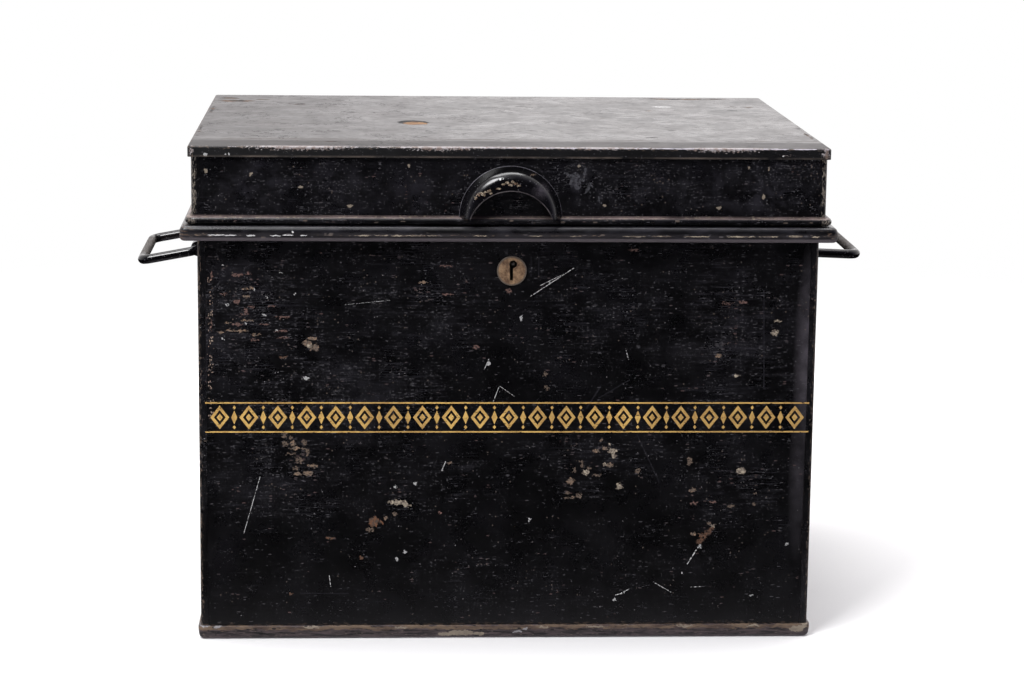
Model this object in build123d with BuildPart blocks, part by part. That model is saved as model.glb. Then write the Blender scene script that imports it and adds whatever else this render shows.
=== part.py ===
"""Sheet-steel deed box with a deep hinged lid, a warded box lock and two wire handles.

Millimetres. +X is to the right of the front, +Y is to the back, +Z is up. The origin is the
centre of the body's underside. The lid is shut, the lock is open, and the handles stand out
from the ends. Fixed pieces touch; moving pieces have the named clearances.
"""

import os
from math import cos, radians, sin

from build123d import *

os.makedirs("parts", exist_ok=True)

# ---------------------------------------------------------------- body
body_width = 406.4
body_depth = 325.0
collar_height = 17.9
sheet = 0.9
corner_radius = 2.5
end_fold = 5.0
seam_gap = 0.15
hem_height = 6.0
overcut = 1.0

# ---------------------------------------------------------------- bottom pan
rim_height = 8.9
rim_proud = 1.8
rim_foot_proud = 1.0
rim_fold_height = 6.0
rim_bend = 3.0
rim_top_round = 0.8

# ---------------------------------------------------------------- ledge round the body
ledge_plate_gap = 6.9
ledge_height = 10.0
ledge_reach = 10.7
ledge_plan_radius = 4.0
ledge_top_round = 3.6
ledge_foot_round = 2.6

# ---------------------------------------------------------------- lid
lid_clearance = 2.4
lid_wall_height = 47.3
lid_corner_radius = 2.5
wire_radius = 1.6
wire_slack = 0.04
bead_lift = 0.5
skirt_height = 7.1
skirt_gap = 0.3
skirt_folds = 2
top_edge_round = 1.2

# ---------------------------------------------------------------- finger pull
pull_radius = 33.5
pull_side_run = 4.5
pull_side_rise = 11.4
pull_crown_rise = 1.4
pull_crest_round = 7.0
pull_mouth_half_width = 26.5
pull_mouth_height = 18.4

# ---------------------------------------------------------------- hinge straps
strap_sheet = 1.2
strap_width = 30.0
strap_offset = 110.0
strap_drop = 44.1
strap_rivet_high = 35.0
strap_rivet_low = 11.0
strap_bend = 1.3
strap_corner = 8.0
knuckle_slack = 0.05
knuckle_turn = 285.0
knuckle_side_gap = 1.0
notch_rise = 1.0
slot_slack = 0.1

# ---------------------------------------------------------------- rivets
rivet_radius = 2.0
rivet_slack = 0.05
head_radius = 3.6
head_height = 1.4

# ---------------------------------------------------------------- handles
# The handles' height sets the ledge over them, and the ledge sets the collar, the lid and the lock
rod_radius = 3.175
handle_span = 100.0
handle_reach = 39.0
handle_bend = 6.0
handle_height = 244.2
pin_length = 14.0
left_droop = 10.5
right_droop = 2.2
eye_sheet = 2.0
eye_width = 12.0
eye_slack = 0.075
eye_bend_gap = 0.6
eye_foot_length = 16.0
eye_foot_rivet = 11.5
eye_slit = 0.6
handle_plate_sheet = 1.2
handle_plate_margin = 2.0
handle_plate_corner = 8.0
eye_seat_gap = 0.15

# ---------------------------------------------------------------- keyhole
disc_radius = 9.75
disc_thickness = 0.9
disc_edge = 0.3
disc_x = 1.4
disc_drop = 4.4
key_pin_x = 2.2
key_pin_rise = 14.2
key_hole_radius = 2.55
key_slot_width = 2.1
key_slot_x = 1.1
key_slot_reach = 10.7
keyhole_margin = 0.3
drill_pin_radius = 1.05
drill_pin_setback = 0.4

# ---------------------------------------------------------------- lock
lock_sheet = 1.2
lock_case_width = 54.0
lock_case_height = 45.0
lock_case_drop = 13.0
lock_case_depth = 12.0
lock_ear = 7.0
lock_rivet_radius = 1.6
lock_rivet_head = 2.8
lock_rivet_inset = 5.0
bolt_thickness = 3.2
bolt_travel = 6.5
bolt_left = -23.0
bolt_plate_width = 24.0
bolt_head_room = 6.3
bolt_slot_wall = 2.6
bolt_nose_height = 4.0
bolt_nose_gap = 1.3
bolt_shelf_gap = 1.0
talon_bar_rise = 10.5
talon_width = 5.4
talon_depth = 1.7
talon_side_wall = 2.4
talon_gap = 0.3
stump_radius = 1.75
stump_shoulder = 3.2
stump_slack = 0.1
stump_spacing = 8.0
ward_radius = 6.0
ward_sheet = 1.0
ward_height = 2.4
ward_opening = 80.0
spring_sheet = 0.5
spring_seat_gap = 0.15
spring_bolt_gap = 0.3

# ---------------------------------------------------------------- strike
strike_sheet = 1.5
strike_plate_width = 34.0
strike_plate_height = 20.0
strike_tongue_width = 8.0
strike_tongue_x = 14.0
strike_bolt_gap = 0.7
strike_plate_gap = 0.9
strike_hook_height = 9.0
strike_collar_gap = 2.0
strike_rivet_spacing = 18.0
strike_slot_gap = 1.0
strike_swing_gap = 1.6

# ---------------------------------------------------------------- worked out from the above
half_width = body_width / 2
half_depth = body_depth / 2
wall_span = body_width - 2 * end_fold - 2 * seam_gap
handle_plate_half_height = eye_foot_length + handle_plate_margin
ledge_bottom = handle_height + handle_plate_half_height + ledge_plate_gap
ledge_top = ledge_bottom + ledge_height
collar_top = ledge_top + collar_height
body_height = collar_top - rim_bend

bead_radius = wire_radius + sheet
bead_offset = lid_clearance + bead_radius
bead_z = ledge_top + bead_lift + bead_radius
bead_top = bead_z + bead_radius
lid_inner_width = body_width + 2 * lid_clearance
lid_inner_depth = body_depth + 2 * lid_clearance
lid_width = lid_inner_width + 2 * sheet
lid_depth = lid_inner_depth + 2 * sheet
lid_wall_top = bead_z + lid_wall_height
lid_span = lid_width - 2 * end_fold - 2 * seam_gap
lid_face = lid_depth / 2
lid_seat = lid_inner_depth / 2
skirt_thickness = skirt_folds * sheet
skirt_reach = skirt_gap + skirt_thickness
overall_height = lid_wall_top + sheet

hinge_y = half_depth + bead_offset
notch_top = bead_top + notch_rise
strap_slot_depth = strap_sheet / 2 + strap_bend + slot_slack
strap_tail = ledge_bottom - strap_drop
strap_centres = (-strap_offset, strap_offset)
strap_rivets = [(-strap_width / 4, strap_rivet_high), (strap_width / 4, strap_rivet_high),
                (0, strap_rivet_low)]

pivot_x = half_width + handle_plate_sheet + eye_seat_gap + rod_radius + eye_slack + eye_sheet
eye_bore = rod_radius + eye_slack
eye_outer = eye_bore + eye_sheet
eye_far = handle_span / 2 - handle_bend - eye_bend_gap
eye_near = eye_far - eye_width
eye_middle = (eye_far + eye_near) / 2
handle_plate_half_length = eye_far + handle_plate_corner
handle_rivets = [(y, handle_height + z)
                 for y in (-eye_middle, eye_middle)
                 for z in (-eye_foot_rivet, eye_foot_rivet)]

front_face = -half_depth
lock_face = front_face + sheet
case_mouth = lock_face + lock_sheet
case_back = case_mouth + lock_case_depth
case_inside_back = case_back - lock_sheet
lock_case_top = collar_top - lock_case_drop
lock_case_bottom = lock_case_top - lock_case_height
case_inside_top = lock_case_top - lock_sheet
key_pin_z = lock_case_bottom + key_pin_rise
disc_z = key_pin_z - disc_drop
lock_plate_half_width = lock_case_width / 2 + lock_ear
lock_rivets = [(x, z)
               for x in (-lock_case_width / 2 - lock_ear / 2, lock_case_width / 2 + lock_ear / 2)
               for z in (lock_case_bottom + lock_rivet_inset, lock_case_top - lock_rivet_inset)]
strike_front = case_mouth + strike_plate_gap
bolt_front = strike_front + strike_sheet + strike_bolt_gap
bolt_back = bolt_front + bolt_thickness
strike_back = bolt_back + strike_bolt_gap + strike_sheet

bolt_top = case_inside_top - bolt_head_room
bolt_bottom = key_pin_z + talon_bar_rise - talon_depth + talon_gap
talon_x = key_pin_x - bolt_travel / 2
shelf_top = bolt_bottom + 2 * talon_depth + strike_sheet
strike_bottom = shelf_top + bolt_shelf_gap
nose_bottom = strike_bottom + strike_sheet + bolt_nose_gap
nose_z = nose_bottom + bolt_nose_height / 2
nose_tip = strike_tongue_x - strike_tongue_width / 2 - bolt_nose_gap
stump_right = bolt_left + bolt_plate_width - bolt_slot_wall - stump_radius - stump_slack
stump_left = stump_right - stump_spacing
strike_plate_bottom = collar_top + strike_collar_gap
strike_rivet_z = strike_plate_bottom + strike_plate_height / 2
strike_rivets = [(-strike_rivet_spacing / 2, strike_rivet_z), (strike_rivet_spacing / 2, strike_rivet_z)]


def wall_ring(width, depth, radius, thickness):
    """Draw the plan of a rounded rectangular wall in the open sketch."""
    RectangleRounded(width, depth, radius)
    RectangleRounded(width - 2 * thickness, depth - 2 * thickness, radius - thickness,
                     mode=Mode.SUBTRACT)


def keyhole(margin):
    """Draw the keyhole in the open sketch, in the plane of the front, grown by a margin."""
    with Locations((key_pin_x, key_pin_z)):
        Circle(key_hole_radius + margin)
    with Locations((key_slot_x, key_pin_z)):
        Rectangle(key_slot_width + 2 * margin, key_slot_reach + margin, align=(Align.CENTER, Align.MAX))


def plane_facing_front(y):
    """The XZ plane at a depth, its normal towards the front."""
    return Plane(origin=(0, y, 0), x_dir=(1, 0, 0), z_dir=(0, -1, 0))


def save(part, name):
    """Label a finished piece and write it."""
    part.label = name
    export_step(part, f"parts/{name}.step")


# ================================================================ body
with BuildPart() as bottom_pan:
    with BuildSketch():
        RectangleRounded(body_width + 2 * rim_foot_proud, body_depth + 2 * rim_foot_proud,
                         corner_radius + rim_foot_proud)
    with BuildSketch(Plane.XY.offset(rim_fold_height)):
        RectangleRounded(body_width + 2 * rim_proud, body_depth + 2 * rim_proud,
                         corner_radius + rim_proud)
    loft()
    with BuildSketch(Plane.XY.offset(rim_fold_height)):
        RectangleRounded(body_width + 2 * rim_proud, body_depth + 2 * rim_proud,
                         corner_radius + rim_proud)
    extrude(amount=rim_height - rim_fold_height)
    fillet(bottom_pan.edges().group_by(Axis.Z)[0], rim_bend)
    fillet(bottom_pan.edges().group_by(Axis.Z)[-1], rim_top_round)
    # The bend's inside is filled with solder, and the walls stand on it
    with BuildSketch(Plane.XY.offset(sheet)):
        RectangleRounded(body_width - 2 * rim_bend, body_depth - 2 * rim_bend, corner_radius)
    extrude(amount=rim_bend - sheet, taper=-45, mode=Mode.SUBTRACT)
    with BuildSketch(Plane.XY.offset(rim_bend)):
        RectangleRounded(body_width, body_depth, corner_radius)
    extrude(amount=rim_height, mode=Mode.SUBTRACT)
save(bottom_pan.part, "bottom_pan")

# The front and back lie flush between the ends' folds, with a strip set back behind each fold
for side, name in ((-1, "front_panel"), (1, "back_panel")):
    outside = side * half_depth
    inside = side * (half_depth - sheet)
    with BuildPart() as panel:
        with BuildSketch(Plane.XY.offset(rim_bend)):
            with Locations((0, (outside + inside) / 2)):
                Rectangle(wall_span, sheet)
            for end in (-1, 1):
                strip_outer = end * (half_width - corner_radius)
                strip_inner = end * (wall_span / 2 - sheet)
                with Locations(((strip_outer + strip_inner) / 2, inside - side * sheet / 2)):
                    Rectangle(abs(strip_outer - strip_inner), sheet)
        extrude(amount=body_height)
        with BuildSketch(Plane.XY.offset(collar_top - hem_height)):
            with Locations((0, inside - side * sheet / 2)):
                Rectangle(wall_span, sheet)
        extrude(amount=hem_height)
        if side < 0:
            with BuildSketch(plane_facing_front(outside - overcut)):
                keyhole(keyhole_margin)
                with Locations(*lock_rivets):
                    Circle(lock_rivet_radius + rivet_slack)
            extrude(amount=-2 * sheet - overcut, mode=Mode.SUBTRACT)
        else:
            with BuildSketch(plane_facing_front(inside - overcut)):
                for centre in strap_centres:
                    with Locations(*[(centre + x, strap_tail + z) for x, z in strap_rivets]):
                        Circle(rivet_radius + rivet_slack)
            extrude(amount=-2 * sheet - overcut, mode=Mode.SUBTRACT)
    save(panel.part, name)

for side, name in ((-1, "left_end"), (1, "right_end")):
    with BuildPart() as end_panel:
        with BuildSketch(Plane.XY.offset(rim_bend)):
            wall_ring(body_width, body_depth, corner_radius, sheet)
            with Locations((side * (half_width - end_fold / 2), 0)):
                Rectangle(end_fold, body_depth, mode=Mode.INTERSECT)
        extrude(amount=body_height)
        with BuildSketch(Plane.XY.offset(collar_top - hem_height)):
            with Locations((side * (half_width - 1.5 * sheet), 0)):
                Rectangle(sheet, body_depth - 2 * corner_radius - 2 * sheet)
        extrude(amount=hem_height)
        with BuildSketch(Plane.YZ.offset(side * (half_width + overcut))):
            with Locations(*handle_rivets):
                Circle(rivet_radius + rivet_slack)
        extrude(amount=-side * (sheet + 2 * overcut), mode=Mode.SUBTRACT)
    save(end_panel.part, name)

# ================================================================ ledge
with BuildPart() as ledge_inside:
    with BuildSketch(Plane.XY.offset(ledge_bottom + sheet)):
        RectangleRounded(body_width + 2 * (ledge_reach - sheet), body_depth + 2 * (ledge_reach - sheet),
                         ledge_plan_radius - sheet)
    extrude(amount=ledge_height - 2 * sheet)
    fillet(ledge_inside.edges().group_by(Axis.Z)[-1], ledge_top_round - sheet)
    fillet(ledge_inside.edges().group_by(Axis.Z)[0], ledge_foot_round - sheet)

with BuildPart() as ledge_ring:
    with BuildSketch(Plane.XY.offset(ledge_bottom)):
        RectangleRounded(body_width + 2 * ledge_reach, body_depth + 2 * ledge_reach, ledge_plan_radius)
    extrude(amount=ledge_height)
    fillet(ledge_ring.edges().group_by(Axis.Z)[-1], ledge_top_round)
    fillet(ledge_ring.edges().group_by(Axis.Z)[0], ledge_foot_round)
    add(ledge_inside.part, mode=Mode.SUBTRACT)
    with BuildSketch(Plane.XY.offset(ledge_bottom)):
        RectangleRounded(body_width, body_depth, corner_radius)
    extrude(amount=ledge_height, mode=Mode.SUBTRACT)

mitre = ledge_reach + overcut
front_wedge = [(-half_width - mitre, -half_depth - mitre), (half_width + mitre, -half_depth - mitre),
               (half_width - mitre, -half_depth + mitre), (-half_width + mitre, -half_depth + mitre)]
left_wedge = [(-half_width - mitre, -half_depth - mitre), (-half_width + mitre, -half_depth + mitre),
              (-half_width + mitre, half_depth - mitre), (-half_width - mitre, half_depth + mitre)]
ledge_wedges = {
    "ledge_front": front_wedge,
    "ledge_back": [(x, -y) for x, y in front_wedge],
    "ledge_left": left_wedge,
    "ledge_right": [(-x, y) for x, y in left_wedge],
}
for name, wedge in ledge_wedges.items():
    with BuildPart() as ledge:
        add(ledge_ring.part)
        with BuildSketch(Plane.XY.offset(ledge_bottom)):
            with BuildLine():
                Polyline(*wedge, close=True)
            make_face()
        extrude(amount=ledge_height, mode=Mode.INTERSECT)
        if name == "ledge_back":
            with BuildSketch(Plane.XY.offset(ledge_bottom)):
                with Locations(*[(x, half_depth) for x in strap_centres]):
                    Rectangle(strap_width + 2 * slot_slack, 2 * strap_slot_depth)
            extrude(amount=ledge_height, mode=Mode.SUBTRACT)
    save(ledge.part, name)

# ================================================================ lid
with BuildPart() as lid_ring:
    with BuildSketch(Plane.XY.offset(bead_z)):
        wall_ring(lid_width, lid_depth, lid_corner_radius, sheet)
    extrude(amount=lid_wall_height)

bead_half_width = half_width + bead_offset
bead_half_depth = half_depth + bead_offset
bead_corner_radius = lid_corner_radius - sheet + bead_radius
bead_corners = [(-bead_half_width, -bead_half_depth), (bead_half_width, -bead_half_depth),
                (bead_half_width, bead_half_depth), (-bead_half_width, bead_half_depth)]
with BuildLine(Plane.XY.offset(bead_z)) as bead_path:
    FilletPolyline(*bead_corners, radius=bead_corner_radius, close=True)
bead_start = Plane(origin=bead_path.line @ 0, z_dir=bead_path.line % 0)

with BuildPart() as bead_ring:
    with BuildSketch(bead_start):
        Circle(bead_radius)
        Circle(wire_radius, mode=Mode.SUBTRACT)
    sweep(path=bead_path.line)

with BuildPart() as lid_edge_wire:
    with BuildSketch(bead_start):
        Circle(wire_radius - wire_slack)
    sweep(path=bead_path.line)
save(lid_edge_wire.part, "lid_edge_wire")

bead_reach = bead_offset + bead_radius
lid_block_bottom = bead_z - bead_radius
lid_block_height = lid_wall_top - lid_block_bottom
for side, name in ((-1, "lid_left"), (1, "lid_right")):
    with BuildPart() as lid_end:
        add(lid_ring.part)
        add(bead_ring.part)
        cut_inner = lid_width / 2 - end_fold
        cut_outer = half_width + bead_reach
        with BuildSketch(Plane.XY.offset(lid_block_bottom)):
            with Locations((side * (cut_inner + cut_outer) / 2, 0)):
                Rectangle(cut_outer - cut_inner, body_depth + 2 * bead_reach)
        extrude(amount=lid_block_height, mode=Mode.INTERSECT)
    save(lid_end.part, name)

for side, name in ((-1, "lid_front"), (1, "lid_back")):
    with BuildPart() as lid_side:
        add(lid_ring.part)
        add(bead_ring.part)
        with BuildSketch(Plane.XY.offset(lid_block_bottom)):
            with Locations((0, side * (half_depth + bead_reach / 2))):
                Rectangle(lid_span, bead_reach)
        extrude(amount=lid_block_height, mode=Mode.INTERSECT)
        strip_width = end_fold + seam_gap + sheet - lid_corner_radius
        strip_x = (lid_width / 2 - lid_corner_radius) - strip_width / 2
        with BuildSketch(Plane.XY.offset(bead_top)):
            with Locations(*[(end * strip_x, side * (lid_seat - sheet / 2)) for end in (-1, 1)]):
                Rectangle(strip_width, sheet)
        extrude(amount=lid_wall_top - bead_top)
        if side < 0:
            with BuildSketch(plane_facing_front(-lid_face - overcut)):
                with Locations(*strike_rivets):
                    Circle(rivet_radius + rivet_slack)
            extrude(amount=-sheet - 2 * overcut, mode=Mode.SUBTRACT)
        else:
            with BuildSketch(Plane.XY.offset(lid_block_bottom)):
                with Locations(*[(x, half_depth + bead_reach / 2) for x in strap_centres]):
                    Rectangle(strap_width + 2 * knuckle_side_gap, bead_reach)
            extrude(amount=notch_top - lid_block_bottom, mode=Mode.SUBTRACT)
    save(lid_side.part, name)

with BuildPart() as lid_top:
    with BuildSketch(Plane.XY.offset(overall_height - skirt_height)):
        RectangleRounded(lid_width + 2 * skirt_reach, lid_depth + 2 * skirt_reach,
                         lid_corner_radius + skirt_gap)
    extrude(amount=skirt_height)
    fillet(lid_top.edges().group_by(Axis.Z)[-1], top_edge_round)
    with BuildSketch(Plane.XY.offset(overall_height - skirt_height)):
        RectangleRounded(lid_width + 2 * skirt_gap, lid_depth + 2 * skirt_gap,
                         lid_corner_radius)
    extrude(amount=skirt_height - sheet, mode=Mode.SUBTRACT)
save(lid_top.part, "lid_top")

# A pressed dome, cut to a crescent by the finger mouth, stands on the bead
pull_base = bead_top
mouth_radius = (pull_mouth_half_width**2 + pull_mouth_height**2) / (2 * pull_mouth_height)
pull_height = pull_side_rise + pull_crown_rise + sheet
with BuildPart() as finger_pull:
    with BuildSketch(Plane.XY.offset(pull_base)):
        with BuildLine():
            foot = (pull_radius - sheet / 2 + overcut * pull_side_run / pull_side_rise, -lid_face + overcut)
            shoulder = (pull_radius - sheet / 2 - pull_side_run, -lid_face - pull_side_rise)
            crown = (0, shoulder[1] - pull_crown_rise)
            FilletPolyline(foot, shoulder, crown, radius=pull_crest_round)
        trace(line_width=sheet)
        with Locations((0, -lid_face)):
            Rectangle(pull_radius + overcut, pull_height, align=(Align.MIN, Align.MAX),
                      mode=Mode.INTERSECT)
    revolve(axis=Axis((0, 0, pull_base), (0, 1, 0)))
    with BuildSketch(plane_facing_front(-lid_face)):
        with Locations((0, pull_base)):
            Rectangle(2 * pull_radius, pull_radius, align=(Align.CENTER, Align.MIN))
        with Locations((0, pull_base + pull_mouth_height - mouth_radius)):
            Circle(mouth_radius, mode=Mode.SUBTRACT)
    extrude(amount=pull_height, mode=Mode.INTERSECT)
save(finger_pull.part, "finger_pull")

# ================================================================ hinges
knuckle_radius = wire_radius + knuckle_slack + strap_sheet / 2
for centre, name in zip(strap_centres, ("hinge_strap_left", "hinge_strap_right")):
    with BuildPart() as hinge_strap:
        with BuildSketch(Plane.YZ.offset(centre - strap_width / 2)):
            with BuildLine():
                leg_y = half_depth + strap_sheet / 2
                shelf_z = bead_z - knuckle_radius
                FilletPolyline((leg_y, strap_tail), (leg_y, shelf_z), (hinge_y, shelf_z),
                               radius=strap_bend)
                CenterArc((hinge_y, bead_z), knuckle_radius, -90, knuckle_turn)
            trace(line_width=strap_sheet)
        extrude(amount=strap_width)
        fillet(hinge_strap.edges().filter_by(Axis.Y).group_by(Axis.Z)[0], strap_corner)
        with BuildSketch(plane_facing_front(half_depth - overcut)):
            with Locations(*[(centre + x, strap_tail + z) for x, z in strap_rivets]):
                Circle(rivet_radius + rivet_slack)
        extrude(amount=-strap_sheet - 2 * overcut, mode=Mode.SUBTRACT)
    save(hinge_strap.part, name)

# Shanks run through strap and panel, with a domed head outside and a flat one inside
with BuildPart() as hinge_rivets:
    rivet_places = [(centre + x, strap_tail + z) for centre in strap_centres for x, z in strap_rivets]
    shank_inside = half_depth - sheet
    with BuildSketch(plane_facing_front(shank_inside)):
        with Locations(*rivet_places):
            Circle(rivet_radius)
    extrude(amount=-sheet - strap_sheet)
    with BuildSketch(plane_facing_front(shank_inside)):
        with Locations(*rivet_places):
            Circle(head_radius)
    extrude(amount=sheet)
    with BuildSketch(plane_facing_front(half_depth + strap_sheet)):
        with Locations(*rivet_places):
            Circle(head_radius)
    extrude(amount=-head_height)
    fillet(hinge_rivets.edges().group_by(Axis.Y)[-1], head_height * 0.8)
save(hinge_rivets.part, "hinge_rivets")

# ================================================================ handles
for side, end_name, droop in ((-1, "left", left_droop), (1, "right", right_droop)):
    wall = side * half_width
    plate_face = side * (half_width + handle_plate_sheet)

    with BuildPart() as handle_plate:
        with BuildSketch(Plane.YZ.offset(wall)):
            with Locations((0, handle_height)):
                RectangleRounded(2 * handle_plate_half_length, 2 * handle_plate_half_height,
                                 handle_plate_corner)
            with Locations(*handle_rivets):
                Circle(rivet_radius + rivet_slack, mode=Mode.SUBTRACT)
        extrude(amount=side * handle_plate_sheet)
    save(handle_plate.part, f"{end_name}_handle_plate")

    # A strap folded round the handle's pin, its two feet riveted flat
    for eye_side, eye_name in ((-1, "front"), (1, "back")):
        eye_y = eye_side * eye_middle
        with BuildPart() as eye:
            with BuildSketch(plane_facing_front(eye_y - eye_width / 2)):
                with Locations((side * pivot_x, handle_height)):
                    Circle(eye_outer)
                neck_depth = pivot_x - half_width - handle_plate_sheet
                with Locations((plate_face + side * neck_depth / 2, handle_height)):
                    Rectangle(neck_depth, eye_outer)
                with Locations((plate_face + side * eye_sheet / 2, handle_height)):
                    Rectangle(eye_sheet, 2 * eye_foot_length)
                with Locations((side * pivot_x, handle_height)):
                    Circle(eye_bore, mode=Mode.SUBTRACT)
                with Locations((plate_face + side * neck_depth / 2, handle_height)):
                    Rectangle(neck_depth, eye_slit, mode=Mode.SUBTRACT)
                with Locations((side * half_width, handle_height)):
                    Rectangle(2 * handle_plate_sheet, 2 * eye_outer, mode=Mode.SUBTRACT)
            extrude(amount=-eye_width)
            with BuildSketch(Plane.YZ.offset(plate_face)):
                with Locations(*[(eye_y, handle_height + z) for z in (-eye_foot_rivet, eye_foot_rivet)]):
                    Circle(rivet_radius + rivet_slack)
            extrude(amount=side * eye_sheet, mode=Mode.SUBTRACT)
        save(eye.part, f"{end_name}_handle_eye_{eye_name}")

    with BuildPart() as handle_rivet_group:
        with BuildSketch(Plane.YZ.offset(side * (half_width - sheet))):
            with Locations(*handle_rivets):
                Circle(rivet_radius)
        extrude(amount=side * (sheet + handle_plate_sheet + eye_sheet))
        with BuildSketch(Plane.YZ.offset(side * (half_width - sheet))):
            with Locations(*handle_rivets):
                Circle(head_radius)
        extrude(amount=-side * sheet)
        with BuildSketch(Plane.YZ.offset(side * (half_width + handle_plate_sheet + eye_sheet))):
            with Locations(*handle_rivets):
                Circle(head_radius)
        extrude(amount=side * head_height)
        outer_edges = handle_rivet_group.edges().group_by(Axis.X)[-1 if side > 0 else 0]
        fillet(outer_edges, head_height * 0.8)
    save(handle_rivet_group.part, f"{end_name}_handle_rivets")

    # The bail lies in a plane through its pins, drooping outwards from the horizontal
    tilt = radians(droop)
    bail_plane = Plane(origin=(side * pivot_x, 0, handle_height),
                       x_dir=(side * cos(tilt), 0, -sin(tilt)),
                       z_dir=(sin(tilt), 0, side * cos(tilt)))
    half_span = handle_span / 2
    with BuildPart() as handle:
        with BuildLine(bail_plane) as bail_path:
            FilletPolyline((0, -half_span + handle_bend + pin_length), (0, -half_span),
                           (handle_reach, -half_span), (handle_reach, half_span),
                           (0, half_span), (0, half_span - handle_bend - pin_length),
                           radius=handle_bend)
        with BuildSketch(Plane(origin=bail_path.line @ 0, z_dir=bail_path.line % 0)):
            Circle(rod_radius)
        sweep(path=bail_path.line)
    save(handle.part, f"{end_name}_handle")

# ================================================================ lock
with BuildPart() as keyhole_disc:
    with BuildSketch(plane_facing_front(front_face)):
        with Locations((disc_x, disc_z)):
            Circle(disc_radius)
        keyhole(0)
    extrude(amount=disc_thickness)
    with BuildSketch(plane_facing_front(front_face)):
        keyhole(0)
    extrude(amount=disc_thickness, mode=Mode.SUBTRACT)
    outer_circles = keyhole_disc.edges().filter_by(GeomType.CIRCLE).group_by(Axis.Y)[0]
    rim_edge = outer_circles.sort_by(SortBy.RADIUS)[-1]
    fillet(rim_edge, disc_edge)
save(keyhole_disc.part, "keyhole_disc")

plate_height = lock_case_top - lock_case_bottom
lock_middle = (lock_case_top + lock_case_bottom) / 2
with BuildPart() as lock_plate:
    with BuildSketch(plane_facing_front(case_mouth)):
        with Locations((0, lock_middle)):
            RectangleRounded(2 * lock_plate_half_width, plate_height, lock_ear / 4)
    extrude(amount=lock_sheet)
    with BuildSketch(plane_facing_front(case_mouth)):
        keyhole(keyhole_margin)
        with Locations(*lock_rivets):
            Circle(lock_rivet_radius + rivet_slack)
        with Locations((stump_left, nose_z), (stump_right, nose_z)):
            Circle(stump_radius)
    extrude(amount=lock_sheet, mode=Mode.SUBTRACT)
save(lock_plate.part, "lock_plate")

slot_left = strike_tongue_x - strike_tongue_width / 2 - strike_slot_gap
slot_right = strike_tongue_x + strike_tongue_width / 2 + strike_slot_gap
slot_back = strike_back + strike_swing_gap
with BuildPart() as lock_case:
    with BuildSketch(plane_facing_front(case_back)):
        with Locations((0, lock_middle)):
            Rectangle(lock_case_width, plate_height)
    extrude(amount=lock_case_depth)
    with BuildSketch(plane_facing_front(case_inside_back)):
        with Locations((0, lock_middle)):
            Rectangle(lock_case_width - 2 * lock_sheet, plate_height - 2 * lock_sheet)
    extrude(amount=lock_case_depth, mode=Mode.SUBTRACT)
    with BuildSketch(plane_facing_front(case_mouth + lock_sheet)):
        for end in (-1, 1):
            with Locations((end * (lock_case_width + lock_ear) / 2, lock_middle)):
                Rectangle(lock_ear, plate_height)
        with Locations(*lock_rivets):
            Circle(lock_rivet_radius + rivet_slack, mode=Mode.SUBTRACT)
    extrude(amount=lock_sheet)
    # Slot in the top for the strike, and seats for the pin and the stumps in the back
    with BuildSketch(Plane.XY.offset(case_inside_top)):
        with Locations(((slot_left + slot_right) / 2, (case_mouth + slot_back) / 2)):
            Rectangle(slot_right - slot_left, slot_back - case_mouth)
    extrude(amount=lock_sheet, mode=Mode.SUBTRACT)
    with BuildSketch(plane_facing_front(case_back)):
        with Locations((key_pin_x, key_pin_z)):
            Circle(drill_pin_radius)
        with Locations((stump_left, nose_z), (stump_right, nose_z)):
            Circle(stump_radius)
    extrude(amount=lock_sheet, mode=Mode.SUBTRACT)
save(lock_case.part, "lock_case")

with BuildPart() as drill_pin:
    with BuildSketch(plane_facing_front(case_back)):
        with Locations((key_pin_x, key_pin_z)):
            Circle(drill_pin_radius)
    extrude(amount=case_back - front_face - drill_pin_setback)
save(drill_pin.part, "drill_pin")

with BuildPart() as lock_ward:
    with BuildSketch(plane_facing_front(case_inside_back)):
        with BuildLine():
            CenterArc((key_pin_x, key_pin_z), ward_radius, -90 + ward_opening / 2, 360 - ward_opening)
        trace(line_width=ward_sheet)
    extrude(amount=ward_height)
save(lock_ward.part, "lock_ward")

# Each stump is shouldered at the plate, runs through the bolt's slot and is riveted in the case
with BuildPart() as bolt_stumps:
    stump_places = [(stump_left, nose_z), (stump_right, nose_z)]
    with BuildSketch(plane_facing_front(case_back)):
        with Locations(*stump_places):
            Circle(stump_radius)
    extrude(amount=case_back - lock_face)
    with BuildSketch(plane_facing_front(bolt_front - stump_slack)):
        with Locations(*stump_places):
            Circle(stump_shoulder)
    extrude(amount=bolt_front - stump_slack - case_mouth)
    with BuildSketch(plane_facing_front(case_inside_back)):
        with Locations(*stump_places):
            Circle(stump_shoulder)
    extrude(amount=case_inside_back - bolt_back - stump_slack)
save(bolt_stumps.part, "bolt_stumps")

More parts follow.
